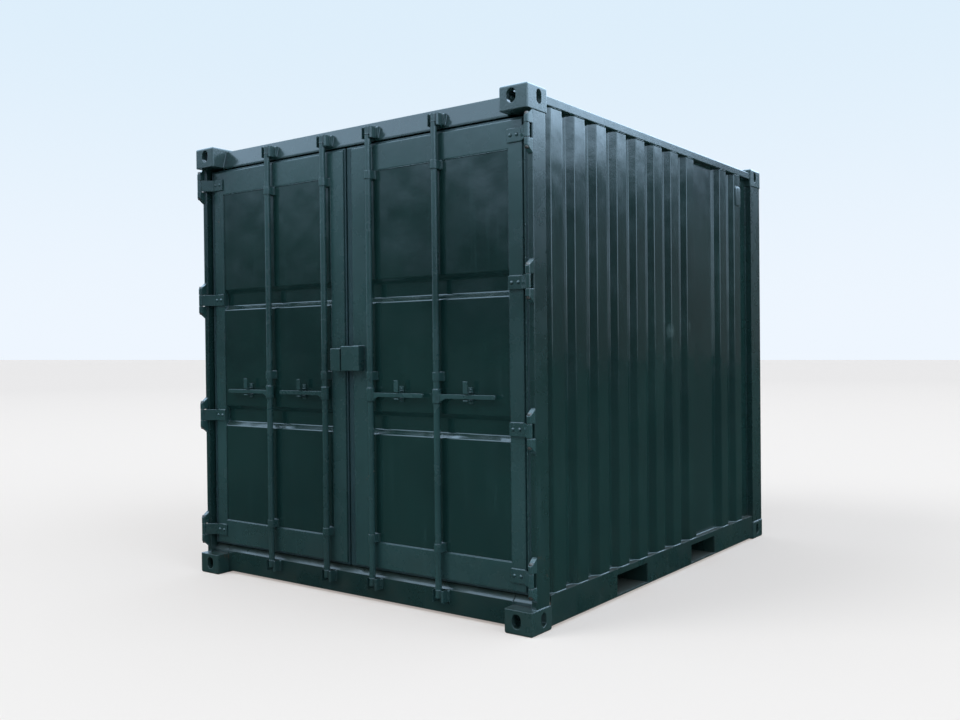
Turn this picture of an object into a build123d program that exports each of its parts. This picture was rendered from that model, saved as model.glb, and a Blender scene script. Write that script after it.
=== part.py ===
"""A ten foot steel shipping container with a pair of bar-locked end doors.

Millimetres. +X is to the right of a person facing the doors, +Y runs from the doors
to the blind end, +Z is up. The origin is at the centre of the footprint, on the ground
that the corner castings stand on.
"""
from build123d import *
import os

os.makedirs("parts", exist_ok=True)

# Overall box, given by the outer faces of the eight corner castings
LENGTH = 2991.0
WIDTH = 2438.0
HEIGHT = 2591.0

# Corner castings
CASTING_X = 162.0
CASTING_Y = 178.0
CASTING_Z = 118.0
CASTING_WALL = 28.0
CASTING_WEB = 16.0
CASTING_ROUND = 12.0
APERTURE_HEIGHT = 70.0
END_APERTURE_WIDTH = 52.0
SIDE_APERTURE_WIDTH = 44.0
FLAT_APERTURE_LENGTH = 116.0
FLAT_APERTURE_WIDTH = 60.0
APERTURE_FROM_SIDE = 89.5
APERTURE_FROM_END = 102.0
TOP_APERTURE_DROP = 52.0
TOP_CASTING_CAP = 18.0

# Levels of the base, the door opening and the roof
GROUND_CLEARANCE = 15.0
FLOOR_TOP = 165.0
HEADER_DROP = 125.0
HEADER_BOTTOM = HEIGHT - HEADER_DROP
ROOF_DROP = 30.0
ROOF_LEVEL = HEIGHT - ROOF_DROP
CUT_PAST = 1.0

# Door end posts, hollow, with a narrow front leg and a wide back leg
POST_INSET = 3.0
POST_FRONT = 48.0
POST_LEG = 33.0
POST_STEP = 122.0
POST_BACK = 160.0
POST_REACH = 96.0
POST_WALL = 6.0
POST_ROUND = 8.0

# Blind end posts
BLIND_POST_INSET = 4.0
BLIND_POST_LENGTH = 174.0
BLIND_POST_REACH = 120.0
BLIND_POST_LIP = 60.0

# Header and sill across the door end
HEADER_FRONT = 82.0
HEADER_TOP_FRONT = 106.0
HEADER_TOP = HEIGHT - 19.0
HEADER_LIP = 10.0
HEADER_STOP_DROP = 36.0
SILL_FRONT = 80.0
SILL_BEVEL = 30.0
SILL_BACK = 176.0
BEAM_WALL = 6.0

# Side rails and end rails
RAIL_INSET = 8.0
RAIL_WIDTH = 60.0
BOTTOM_FLANGE = 45.0
RAIL_WALL = 5.0
TOP_RAIL_HEIGHT = 46.0
TOP_RAIL_BOTTOM = ROOF_LEVEL - TOP_RAIL_HEIGHT

# Corrugated sheets
WALL_INSET = 12.0
SHEET = 4.0
WAVE_DEPTH = 34.0
WAVE_PITCH = 222.0
WAVE_CREST = 104.0
WAVE_SLOPE = 34.0
WAVE_BEND = 14.0
FIRST_CREST = 274.0
CRESTS_BEFORE_PANEL = 8
PANEL_WIDTH = 514.0
CRESTS_AFTER_PANEL = 2
FAR_PITCH = 245.0
END_WAVE_PITCH = 250.0
END_CRESTS = 8
ROOF_WAVE_PITCH = 209.0
ROOF_CRESTS = 12
ROOF_RIB = 110.0
ROOF_RIB_TAPER = 50.0
ROOF_DEPTH = 14.0
ROOF_SHEET = 3.0
ROOF_SETBACK = 20.0
ROOF_BORDER = 90.0

# Floor and the members under it
BOARD = 28.0
BOARD_COUNT = 8
BOARD_GAP = 0.6
MEMBER_WALL = 4.0
MEMBER_FLANGE = 45.0
MEMBER_MARGIN = 90.0
FLOOR_PLAY = 1.0
POCKET_SPACING = 950.0
POCKET_WIDTH = 355.0
POCKET_WALL = 5.0

# Hinges: the pin stands in front of the post, in line with the side of the box
HINGE_COUNT = 4
LOWEST_HINGE = 263.0
HIGHEST_HINGE = HEADER_BOTTOM - 97.0
HINGE_PITCH = (HIGHEST_HINGE - LOWEST_HINGE) / (HINGE_COUNT - 1)
PIN_INSET = 14.0
PIN_DEPTH = 17.0
PIN_RADIUS = 8.0
KNUCKLE_RADIUS = 13.0
KNUCKLE_HEIGHT = 66.0
MOUTH = 71.0
LUG_REACH = 104.0
LUG_FACE = 70.0
LUG_ROUND = 12.0
PIN_PLAY = 0.3
BLADE = 10.0
BLADE_END = 160.0
BLADE_KNEE = 37.0
BLADE_KNEE_DEPTH = 33.0
BLADE_FOOT = 82.0

# Door leaves
LEAF_FACE = 75.0
LEAF_DEPTH = 42.0
LEAF_OUTER_INSET = 80.0
LEAF_BOTTOM = FLOOR_TOP + 20.0
LEAF_TOP = HEADER_BOTTOM - 19.0
LEAF_MEMBER = 140.0
OUTER_STILE = 84.0
INNER_STILE = 100.0
FRAME_WALL = 4.0
FRAME_ROUND = 5.0
PANEL_SET_BACK = 4.0
GROOVE_HEIGHT = 125.0
GROOVE_DEPTH = 26.0
GROOVE_BEND = 9.0
GASKET_SET_BACK = 11.0
GASKET_LIP = 13.0
GASKET_OUTER_INSET = 42.0
GASKET_THICKNESS = 24.0
GASKET_ROUND = 8.0
SEAM_STRIP = 48.0
SEAM_GAP = 10.0
LEFT_SEAM_LIP = 8.0

# Locking bars with their cams, brackets, keepers and handles
BAR_RADIUS = 17.0
BAR_STAND = 28.0
INNER_BAR = 171.0
OUTER_BAR = 624.0
BAR_BOTTOM = FLOOR_TOP - 70.0
BAR_TOP = HEADER_BOTTOM + 72.0
CAM_HEIGHT = 40.0
CAM_REACH = 21.0
CAM_THICKNESS = 26.0
CAM_BACK = 2.0
KEEPER_GAP = 27.0
KEEPER_PLATE = 9.0
KEEPER_FOOT = 20.0
KEEPER_HEIGHT = 62.0
KEEPER_RISE = 12.0
KEEPER_ROUND = 9.0
BRACKET_MARGIN = 2.0
BRACKET_WIDTH = 56.0
BRACKET_HEIGHT = 44.0
BRACKET_PLATE = 5.0
BAR_PLAY = 0.4
HANDLE_LEVEL = 1116.0
MIDDLE_BRACKET = HANDLE_LEVEL + 99.0
HANDLE_LENGTH = 365.0
HANDLE_HEIGHT = 22.0
HANDLE_THICKNESS = 12.0
HUB_HEIGHT = 70.0
HUB_WALL = 6.0
HANDLE_ROOT = 2.0
HANDLE_ROUND = 10.0
GUSSET_REACH = 90.0
CATCH_DISTANCE = 195.0
CATCH_WIDTH = 28.0
CATCH_CLEARANCE = 6.0
CATCH_DEPTH = 46.0
CATCH_BELOW = 20.0
CATCH_ABOVE = 30.0
CATCH_TONGUE = 60.0

# Lock box over the seam, half of it on each leaf
LOCK_BOX_REACH = 106.0
LOCK_BOX_BOTTOM = 1242.0
LOCK_BOX_TOP = LOCK_BOX_BOTTOM + 134.0
LOCK_BOX_DEPTH = 49.0
LOCK_BOX_WALL = 4.0
LOCK_BOX_STEP = 12.0


def end_y(depth):
    """The plane at a depth behind the face of the door end castings."""
    return depth - LENGTH / 2


def side_x(inset):
    """The plane at an inset from the right side of the box."""
    return WIDTH / 2 - inset


def block(x_span, y_span, z_span, mode=Mode.ADD):
    """A plain box between three pairs of planes, given in any order."""
    spans = [sorted(span) for span in (x_span, y_span, z_span)]
    centre = tuple((low + high) / 2 for low, high in spans)
    with Locations(centre):
        Box(*[high - low for low, high in spans], mode=mode)


def hinge_levels():
    """Heights of the hinges, from the lowest up."""
    return [LOWEST_HINGE + number * HINGE_PITCH for number in range(HINGE_COUNT)]


# Corner castings
def casting_centres(z_centre):
    """Centres of the four castings of one level."""
    x_centre = (WIDTH - CASTING_X) / 2
    y_centre = (LENGTH - CASTING_Y) / 2
    return [(sx * x_centre, sy * y_centre, z_centre) for sx in (-1, 1) for sy in (-1, 1)]


def castings(at_top):
    """Four hollow castings with an aperture in each of their three outer faces."""
    outward = 1 if at_top else -1
    z_centre = HEIGHT - CASTING_Z / 2 if at_top else CASTING_Z / 2
    cap = TOP_CASTING_CAP if at_top else CASTING_WALL
    aperture_z = HEIGHT - TOP_APERTURE_DROP if at_top else (CASTING_WALL + CASTING_Z - CASTING_WEB) / 2
    with BuildPart() as part:
        with Locations(*casting_centres(z_centre)):
            Box(CASTING_X, CASTING_Y, CASTING_Z)
        outer_loop = part.edges().group_by(Axis.Z)[-1 if at_top else 0]
        fillet(part.edges().filter_by(Axis.Z) + outer_loop, CASTING_ROUND)
        for x, y, z in casting_centres(z_centre):
            sx = 1 if x > 0 else -1
            sy = 1 if y > 0 else -1
            inner = (
                (x - sx * (CASTING_X / 2 - CASTING_WEB), x + sx * (CASTING_X / 2 - CASTING_WALL)),
                (y - sy * (CASTING_Y / 2 - CASTING_WEB), y + sy * (CASTING_Y / 2 - CASTING_WALL)),
                (z - outward * (CASTING_Z / 2 - CASTING_WEB), z + outward * (CASTING_Z / 2 - cap)),
            )
            block(*inner, mode=Mode.SUBTRACT)
            hole_x = sx * side_x(APERTURE_FROM_SIDE)
            hole_y = -sy * end_y(APERTURE_FROM_END)
            flat_z = z + outward * CASTING_Z / 2
            flat = Plane((hole_x, hole_y, flat_z), x_dir=(0, 1, 0), z_dir=(0, 0, -outward))
            end = Plane((hole_x, sy * LENGTH / 2, aperture_z), x_dir=(0, 0, 1), z_dir=(0, -sy, 0))
            side = Plane((sx * WIDTH / 2, hole_y, aperture_z), x_dir=(0, 0, 1), z_dir=(-sx, 0, 0))
            for plane, length, width in (
                (flat, FLAT_APERTURE_LENGTH, FLAT_APERTURE_WIDTH),
                (end, APERTURE_HEIGHT, END_APERTURE_WIDTH),
                (side, APERTURE_HEIGHT, SIDE_APERTURE_WIDTH),
            ):
                with BuildSketch(plane):
                    SlotOverall(length, width)
                extrude(amount=CASTING_WALL + CUT_PAST, mode=Mode.SUBTRACT)
    return part


bottom_castings = castings(at_top=False)
bottom_castings.part.label = "bottom_corner_castings"
export_step(bottom_castings.part, "parts/bottom_corner_castings.step")

top_castings = castings(at_top=True)
top_castings.part.label = "top_corner_castings"
export_step(top_castings.part, "parts/top_corner_castings.step")


# Corner posts, closed hollow sections between the castings
with BuildPart() as door_posts:
    with BuildSketch(Plane.XY.offset(CASTING_Z)):
        with BuildLine():
            Polyline(
                (side_x(POST_INSET), end_y(POST_FRONT)),
                (side_x(POST_INSET + POST_LEG), end_y(POST_FRONT)),
                (side_x(POST_INSET + POST_LEG), end_y(POST_STEP)),
                (side_x(POST_REACH), end_y(POST_STEP)),
                (side_x(POST_REACH), end_y(POST_BACK)),
                (side_x(POST_INSET), end_y(POST_BACK)),
                close=True,
            )
        section = make_face()
        fillet(section.vertices().group_by(Axis.Y)[0], POST_ROUND)
        offset(amount=-POST_WALL, mode=Mode.SUBTRACT)
    extrude(amount=HEIGHT - 2 * CASTING_Z)
    mirror(about=Plane.YZ)
door_posts.part.label = "door_end_posts"
export_step(door_posts.part, "parts/door_end_posts.step")

with BuildPart() as blind_posts:
    with BuildSketch(Plane.XY.offset(CASTING_Z)):
        with BuildLine():
            Polyline(
                (side_x(BLIND_POST_INSET), end_y(LENGTH - BLIND_POST_INSET)),
                (side_x(BLIND_POST_REACH), end_y(LENGTH - BLIND_POST_INSET)),
                (side_x(BLIND_POST_REACH), end_y(LENGTH - BLIND_POST_LIP)),
                (side_x(BLIND_POST_LIP), end_y(LENGTH - BLIND_POST_LENGTH)),
                (side_x(BLIND_POST_INSET), end_y(LENGTH - BLIND_POST_LENGTH)),
                close=True,
            )
        section = make_face()
        fillet(section.vertices().group_by(Axis.Y)[-1], POST_ROUND)
        offset(amount=-POST_WALL, mode=Mode.SUBTRACT)
    extrude(amount=HEIGHT - 2 * CASTING_Z)
    mirror(about=Plane.YZ)
blind_posts.part.label = "blind_end_posts"
export_step(blind_posts.part, "parts/blind_end_posts.step")


# Beams across the door end, drawn in section and run between the castings
BEAM_LENGTH = WIDTH - 2 * CASTING_X
SECTION_PLANE = Plane.YZ.offset(-BEAM_LENGTH / 2)

# The header has a sloped face, and a stop behind the doors
HEADER_SECTION = (
    (end_y(HEADER_FRONT), HEADER_BOTTOM),
    (end_y(HEADER_FRONT), HEADER_BOTTOM + HEADER_LIP),
    (end_y(HEADER_TOP_FRONT), HEADER_TOP),
    (end_y(CASTING_Y), HEADER_TOP),
    (end_y(CASTING_Y), HEADER_BOTTOM - HEADER_STOP_DROP),
    (end_y(POST_STEP), HEADER_BOTTOM - HEADER_STOP_DROP),
    (end_y(POST_STEP), HEADER_BOTTOM),
)

with BuildPart() as header:
    with BuildSketch(SECTION_PLANE):
        with BuildLine():
            Polyline(*HEADER_SECTION, close=True)
        make_face()
        offset(amount=-BEAM_WALL, mode=Mode.SUBTRACT)
    extrude(amount=BEAM_LENGTH)
header.part.label = "door_header"
export_step(header.part, "parts/door_header.step")

# The sill has a bevel in front of the bottom seal
SILL_SECTION = (
    (end_y(SILL_FRONT), GROUND_CLEARANCE),
    (end_y(SILL_FRONT), FLOOR_TOP - SILL_BEVEL),
    (end_y(SILL_FRONT + SILL_BEVEL), FLOOR_TOP),
    (end_y(SILL_BACK), FLOOR_TOP),
    (end_y(SILL_BACK), GROUND_CLEARANCE),
)

with BuildPart() as sill:
    with BuildSketch(SECTION_PLANE):
        with BuildLine():
            Polyline(*SILL_SECTION, close=True)
        make_face()
        offset(amount=-BEAM_WALL, mode=Mode.SUBTRACT)
    extrude(amount=BEAM_LENGTH)
sill.part.label = "door_sill"
export_step(sill.part, "parts/door_sill.step")

with BuildPart() as blind_rails:
    with BuildSketch(SECTION_PLANE):
        with BuildLine():
            Polyline(
                (end_y(LENGTH - RAIL_INSET), ROOF_LEVEL),
                (end_y(LENGTH - RAIL_INSET - RAIL_WIDTH), ROOF_LEVEL),
                (end_y(LENGTH - RAIL_INSET - RAIL_WIDTH), TOP_RAIL_BOTTOM),
                (end_y(LENGTH - RAIL_INSET), TOP_RAIL_BOTTOM),
                close=True,
            )
        make_face()
        with BuildLine():
            Polyline(
                (end_y(LENGTH - RAIL_INSET), FLOOR_TOP),
                (end_y(LENGTH - RAIL_INSET - RAIL_WIDTH), FLOOR_TOP),
                (end_y(LENGTH - RAIL_INSET - RAIL_WIDTH), GROUND_CLEARANCE),
                (end_y(LENGTH - RAIL_INSET), GROUND_CLEARANCE),
                close=True,
            )
        make_face()
        offset(amount=-RAIL_WALL, mode=Mode.SUBTRACT)
    extrude(amount=BEAM_LENGTH)
blind_rails.part.label = "blind_end_rails"
export_step(blind_rails.part, "parts/blind_end_rails.step")


# Side rails, between the castings
RAIL_LENGTH = LENGTH - 2 * CASTING_Y
RAIL_PLANE = Plane.XZ.offset(-RAIL_LENGTH / 2)

with BuildPart() as top_rails:
    with BuildSketch(RAIL_PLANE):
        with Locations((side_x(RAIL_INSET + RAIL_WIDTH / 2), (ROOF_LEVEL + TOP_RAIL_BOTTOM) / 2)):
            RectangleRounded(RAIL_WIDTH, ROOF_LEVEL - TOP_RAIL_BOTTOM, RAIL_WALL)
        offset(amount=-RAIL_WALL, mode=Mode.SUBTRACT)
    extrude(amount=RAIL_LENGTH)
    mirror(about=Plane.YZ)
top_rails.part.label = "top_side_rails"
export_step(top_rails.part, "parts/top_side_rails.step")


def pocket_centres():
    """Y of the two fork pockets."""
    return (-POCKET_SPACING / 2, POCKET_SPACING / 2)


POCKET_TOP = FLOOR_TOP - BOARD - POCKET_WALL
POCKET_BOTTOM = GROUND_CLEARANCE + RAIL_WALL + POCKET_WALL
POCKET_HEIGHT = POCKET_TOP - POCKET_BOTTOM

with BuildPart() as bottom_rails:
    with BuildSketch(RAIL_PLANE):
        with BuildLine():
            Polyline(
                (side_x(RAIL_INSET + BOTTOM_FLANGE), FLOOR_TOP),
                (side_x(RAIL_INSET), FLOOR_TOP),
                (side_x(RAIL_INSET), GROUND_CLEARANCE),
                (side_x(RAIL_INSET + BOTTOM_FLANGE), GROUND_CLEARANCE),
                (side_x(RAIL_INSET + BOTTOM_FLANGE), GROUND_CLEARANCE + RAIL_WALL),
                (side_x(RAIL_INSET + RAIL_WALL), GROUND_CLEARANCE + RAIL_WALL),
                (side_x(RAIL_INSET + RAIL_WALL), FLOOR_TOP - RAIL_WALL),
                (side_x(RAIL_INSET + BOTTOM_FLANGE), FLOOR_TOP - RAIL_WALL),
                close=True,
            )
        make_face()
    extrude(amount=RAIL_LENGTH)
    with BuildSketch(Plane.YZ.offset(side_x(RAIL_INSET + RAIL_WALL) - CUT_PAST)):
        with Locations(*[(y, (POCKET_TOP + POCKET_BOTTOM) / 2) for y in pocket_centres()]):
            Rectangle(POCKET_WIDTH, POCKET_HEIGHT)
    extrude(amount=RAIL_WALL + 2 * CUT_PAST, mode=Mode.SUBTRACT)
    mirror(about=Plane.YZ)
bottom_rails.part.label = "bottom_side_rails"
export_step(bottom_rails.part, "parts/bottom_side_rails.step")


def clear_top_castings():
    """Cuts the corners of a sheet around the castings that it ends at."""
    with Locations(*casting_centres(HEIGHT - CASTING_Z / 2)):
        Box(CASTING_X, CASTING_Y, CASTING_Z, mode=Mode.SUBTRACT)


# Corrugated sheets
def wave_points(crests, start, finish, crest, slope, high, low):
    """A trapezoid wave: flat crests at the high level, joined at the low level."""
    points = [(start, low)]
    for centre in crests:
        points.append((centre - crest / 2 - slope, low))
        points.append((centre - crest / 2, high))
        points.append((centre + crest / 2, high))
        points.append((centre + crest / 2 + slope, low))
    points.append((finish, low))
    return points


def draw_sheet(points, thickness, bend):
    """Draws a bent sheet in the current line block, with the points on its outer face.

    The thickness is a step from the outer face to the inner one."""
    outer = FilletPolyline(*points, radius=bend)
    inner = Polyline(*[(x + thickness[0], y + thickness[1]) for x, y in points])
    Line(outer @ 0, inner @ 0)
    Line(outer @ 1, inner @ 1)


def side_crests():
    """Y of the crests that a side wall has room for, in two groups with a flat panel between."""
    room = end_y(LENGTH - BLIND_POST_LENGTH) - WAVE_CREST / 2 - WAVE_SLOPE
    near = [end_y(FIRST_CREST + number * WAVE_PITCH) for number in range(CRESTS_BEFORE_PANEL)]
    far = [near[-1] + PANEL_WIDTH + number * FAR_PITCH for number in range(CRESTS_AFTER_PANEL)]
    return [centre for centre in near + far if centre < room]


with BuildPart() as right_wall:
    with BuildSketch(Plane.XY.offset(FLOOR_TOP)):
        with BuildLine():
            wave = wave_points(
                side_crests(),
                end_y(POST_BACK),
                end_y(LENGTH - BLIND_POST_LENGTH),
                WAVE_CREST,
                WAVE_SLOPE,
                side_x(WALL_INSET),
                side_x(WALL_INSET + WAVE_DEPTH),
            )
            draw_sheet([(x, y) for y, x in wave], (-SHEET, 0), WAVE_BEND)
        make_face()
    extrude(amount=TOP_RAIL_BOTTOM - FLOOR_TOP)
    clear_top_castings()
right_wall.part.label = "right_side_wall"
export_step(right_wall.part, "parts/right_side_wall.step")

with BuildPart() as left_wall:
    mirror(right_wall.part, about=Plane.YZ)
left_wall.part.label = "left_side_wall"
export_step(left_wall.part, "parts/left_side_wall.step")

with BuildPart() as end_wall:
    with BuildSketch(Plane.XY.offset(FLOOR_TOP)):
        with BuildLine():
            wave = wave_points(
                [(number - (END_CRESTS - 1) / 2) * END_WAVE_PITCH for number in range(END_CRESTS)],
                -side_x(BLIND_POST_REACH),
                side_x(BLIND_POST_REACH),
                WAVE_CREST,
                WAVE_SLOPE,
                end_y(LENGTH - WALL_INSET),
                end_y(LENGTH - WALL_INSET - WAVE_DEPTH),
            )
            draw_sheet(wave, (0, -SHEET), WAVE_BEND)
        make_face()
    extrude(amount=TOP_RAIL_BOTTOM - FLOOR_TOP)
    clear_top_castings()
end_wall.part.label = "blind_end_wall"
export_step(end_wall.part, "parts/blind_end_wall.step")

ROOF_HALF_WIDTH = side_x(RAIL_INSET + ROOF_SETBACK)
ROOF_START = end_y(CASTING_Y)
ROOF_END = end_y(LENGTH - RAIL_INSET - ROOF_SETBACK)
ROOF_MIDDLE = (ROOF_START + ROOF_END) / 2

with BuildPart() as roof:
    block((-ROOF_HALF_WIDTH, ROOF_HALF_WIDTH), (ROOF_START, ROOF_END), (ROOF_LEVEL, ROOF_LEVEL + ROOF_SHEET))
    for level, mode in ((ROOF_LEVEL + ROOF_SHEET, Mode.ADD), (ROOF_LEVEL, Mode.SUBTRACT)):
        with BuildSketch(Plane.XY.offset(level)):
            with Locations((0, ROOF_MIDDLE)):
                with GridLocations(0, ROOF_WAVE_PITCH, 1, ROOF_CRESTS):
                    Rectangle(2 * (ROOF_HALF_WIDTH - ROOF_BORDER), ROOF_RIB)
        extrude(amount=ROOF_DEPTH, taper=ROOF_RIB_TAPER, mode=mode)
    clear_top_castings()
roof.part.label = "roof_panel"
export_step(roof.part, "parts/roof_panel.step")


# Floor boards, and the cross members and fork pockets below them
FLOOR_HALF_WIDTH = side_x(RAIL_INSET + BOTTOM_FLANGE + FLOOR_PLAY)
FLOOR_START = end_y(SILL_BACK)
FLOOR_END = end_y(LENGTH - RAIL_INSET - RAIL_WIDTH)

with BuildPart() as floor:
    board_pitch = 2 * FLOOR_HALF_WIDTH / BOARD_COUNT
    with Locations((0, (FLOOR_START + FLOOR_END) / 2, FLOOR_TOP - BOARD / 2)):
        with GridLocations(board_pitch, 0, BOARD_COUNT, 1):
            Box(board_pitch - BOARD_GAP, FLOOR_END - FLOOR_START, BOARD)
    for sx in (-1, 1):
        block(
            (sx * (side_x(BLIND_POST_REACH) - BOARD_GAP), sx * WIDTH / 2),
            (end_y(LENGTH - BLIND_POST_LENGTH) - BOARD_GAP, LENGTH / 2),
            (FLOOR_TOP - BOARD, FLOOR_TOP),
            mode=Mode.SUBTRACT,
        )
floor.part.label = "floor_boards"
export_step(floor.part, "parts/floor_boards.step")

with BuildPart() as pockets:
    for y in pocket_centres():
        with BuildSketch(Plane.YZ.offset(-side_x(RAIL_INSET + RAIL_WALL))):
            with Locations((y, (POCKET_TOP + POCKET_BOTTOM) / 2)):
                Rectangle(POCKET_WIDTH + 2 * POCKET_WALL, POCKET_HEIGHT + 2 * POCKET_WALL)
                Rectangle(POCKET_WIDTH, POCKET_HEIGHT, mode=Mode.SUBTRACT)
        extrude(amount=2 * side_x(RAIL_INSET + RAIL_WALL))
pockets.part.label = "fork_pockets"
export_step(pockets.part, "parts/fork_pockets.step")


def member_places():
    """Y of the cross members: beside each pocket and spread over the spans between."""
    beside = POCKET_WIDTH / 2 + POCKET_WALL + MEMBER_FLANGE
    places = [y + side * beside for y in pocket_centres() for side in (-1, 1)]
    ends = (FLOOR_START + MEMBER_MARGIN, FLOOR_END - MEMBER_MARGIN)
    middle = [(ends[0] + places[0]) / 2, (places[1] + places[2]) / 2, (places[3] + ends[1]) / 2]
    return places + middle


with BuildPart() as members:
    for y in member_places():
        with BuildSketch(Plane.YZ.offset(-side_x(RAIL_INSET + RAIL_WALL))):
            with BuildLine():
                low = GROUND_CLEARANCE + RAIL_WALL
                high = FLOOR_TOP - BOARD
                Polyline(
                    (y, low),
                    (y, high),
                    (y + MEMBER_FLANGE, high),
                    (y + MEMBER_FLANGE, high - MEMBER_WALL),
                    (y + MEMBER_WALL, high - MEMBER_WALL),
                    (y + MEMBER_WALL, low + MEMBER_WALL),
                    (y + MEMBER_FLANGE, low + MEMBER_WALL),
                    (y + MEMBER_FLANGE, low),
                    close=True,
                )
            make_face()
        extrude(amount=2 * side_x(RAIL_INSET + RAIL_WALL))
members.part.label = "cross_members"
export_step(members.part, "parts/cross_members.step")


# Hinge lugs on the posts, a pair above and below each mouth, with their pins
PIN_X = side_x(PIN_INSET)
PIN_Y = end_y(PIN_DEPTH)

with BuildPart() as lugs:
    for level in hinge_levels():
        with BuildSketch(Plane.YZ.offset(PIN_X - KNUCKLE_RADIUS)):
            for up in (-1, 1):
                with BuildLine():
                    Polyline(
                        (end_y(POST_FRONT), level + up * MOUTH / 2),
                        (PIN_Y - KNUCKLE_RADIUS, level + up * MOUTH / 2),
                        (PIN_Y - KNUCKLE_RADIUS, level + up * LUG_FACE),
                        (end_y(POST_FRONT), level + up * LUG_REACH),
                        close=True,
                    )
                make_face()
        extrude(amount=2 * KNUCKLE_RADIUS)
    fillet(lugs.edges().filter_by(Axis.Z).group_by(Axis.Y)[0], LUG_ROUND)
    with Locations((PIN_X, PIN_Y, (LOWEST_HINGE + hinge_levels()[-1]) / 2)):
        Cylinder(PIN_RADIUS + PIN_PLAY, HEIGHT, mode=Mode.SUBTRACT)
    mirror(about=Plane.YZ)
lugs.part.label = "hinge_lugs"
export_step(lugs.part, "parts/hinge_lugs.step")

with BuildPart() as pins:
    with Locations(*[(sx * PIN_X, PIN_Y, level) for sx in (-1, 1) for level in hinge_levels()]):
        Cylinder(PIN_RADIUS, 2 * LUG_FACE)
pins.part.label = "hinge_pins"
export_step(pins.part, "parts/hinge_pins.step")


# Keepers for the cams, on the header and on the sill
def bar_places():
    """X of the four locking bars, from left to right."""
    return (-OUTER_BAR, -INNER_BAR, INNER_BAR, OUTER_BAR)


BAR_Y = end_y(LEAF_FACE - BAR_STAND)


def keepers(bottom, beam_section):
    """A pair of angle brackets beside each cam, their feet fitted to the face of a beam."""
    front = BAR_Y - BAR_RADIUS
    with BuildPart() as part:
        for x in bar_places():
            with BuildSketch(Plane.XY.offset(bottom)):
                for side in (-1, 1):
                    near = x + side * KEEPER_GAP
                    far = x + side * (KEEPER_GAP + KEEPER_PLATE)
                    foot = x + side * (KEEPER_GAP + KEEPER_FOOT)
                    with BuildLine():
                        Polyline(
                            (near, end_y(HEADER_TOP_FRONT)),
                            (near, front),
                            (far, front + KEEPER_PLATE),
                            (far, end_y(SILL_FRONT) - KEEPER_PLATE),
                            (foot, end_y(SILL_FRONT) - KEEPER_PLATE),
                            (foot, end_y(HEADER_TOP_FRONT)),
                            close=True,
                        )
                    make_face()
            extrude(amount=KEEPER_HEIGHT)
        fillet(part.edges().filter_by(Axis.X).group_by(Axis.Y)[0], KEEPER_ROUND)
        with BuildSketch(SECTION_PLANE):
            with BuildLine():
                Polyline(*beam_section, close=True)
            make_face()
        extrude(amount=BEAM_LENGTH, mode=Mode.SUBTRACT)
    return part


header_keepers = keepers(HEADER_BOTTOM + KEEPER_RISE, HEADER_SECTION)
header_keepers.part.label = "header_cam_keepers"
export_step(header_keepers.part, "parts/header_cam_keepers.step")

sill_keepers = keepers(FLOOR_TOP - SILL_BEVEL - KEEPER_HEIGHT, SILL_SECTION)
sill_keepers.part.label = "sill_cam_keepers"
export_step(sill_keepers.part, "parts/sill_cam_keepers.step")


# Door leaves. A side of 1 is the right leaf, and -1 the left one.
PANEL_FACE = end_y(LEAF_FACE + PANEL_SET_BACK)


def leaf_edges(side):
    """X of the outer and inner edge of a leaf's steel frame."""
    inner = SEAM_STRIP / 2 if side > 0 else SEAM_STRIP / 2 + SEAM_GAP + LEFT_SEAM_LIP
    return side * side_x(LEAF_OUTER_INSET), side * inner


def leaf_frame(side):
    """Two stiles, and two channel members open to the back, around the panel."""
    outer, inner = leaf_edges(side)
    window = (outer - side * OUTER_STILE, inner + side * INNER_STILE)
    face = end_y(LEAF_FACE)
    with BuildPart() as part:
        block((outer, inner), (face, face + LEAF_DEPTH), (LEAF_BOTTOM, LEAF_TOP))
        block(
            window,
            (face, face + LEAF_DEPTH),
            (LEAF_BOTTOM + LEAF_MEMBER, LEAF_TOP - LEAF_MEMBER),
            mode=Mode.SUBTRACT,
        )
        fillet(part.faces().sort_by(Axis.Y)[0].edges(), FRAME_ROUND)
        for low, high in ((LEAF_BOTTOM, LEAF_BOTTOM + LEAF_MEMBER), (LEAF_TOP - LEAF_MEMBER, LEAF_TOP)):
            block(
                window,
                (face + FRAME_WALL, face + LEAF_DEPTH),
                (low + FRAME_WALL, high - FRAME_WALL),
                mode=Mode.SUBTRACT,
            )
    return part


def leaf_panel(side):
    """The pressed panel with two grooves, level with the middle hinges."""
    outer, inner = leaf_edges(side)
    left, right = sorted((outer - side * OUTER_STILE, inner + side * INNER_STILE))
    with BuildPart() as part:
        with BuildSketch(Plane.YZ.offset(left)):
            with BuildLine():
                wave = wave_points(
                    hinge_levels()[1:-1],
                    LEAF_BOTTOM + LEAF_MEMBER,
                    LEAF_TOP - LEAF_MEMBER,
                    GROOVE_HEIGHT - 2 * GROOVE_DEPTH,
                    GROOVE_DEPTH,
                    PANEL_FACE + GROOVE_DEPTH,
                    PANEL_FACE,
                )
                draw_sheet([(y, z) for z, y in wave], (SHEET, 0), GROOVE_BEND)
            make_face()
        extrude(amount=right - left)
    return part


def leaf_gasket(side):
    """The seal around the back edge of a leaf."""
    outer, inner = leaf_edges(side)
    lip = SEAM_STRIP if side > 0 else LEFT_SEAM_LIP
    front = end_y(LEAF_FACE + GASKET_SET_BACK)
    back = front + GASKET_THICKNESS
    with BuildPart() as part:
        block(
            (side * side_x(GASKET_OUTER_INSET), inner - side * lip),
            (front, back),
            (LEAF_BOTTOM - GASKET_LIP, LEAF_TOP + GASKET_LIP),
        )
        fillet(part.faces().sort_by(Axis.Y)[0].edges(), GASKET_ROUND)
        block((outer, inner), (front, back), (LEAF_BOTTOM, LEAF_TOP), mode=Mode.SUBTRACT)
    return part


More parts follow.
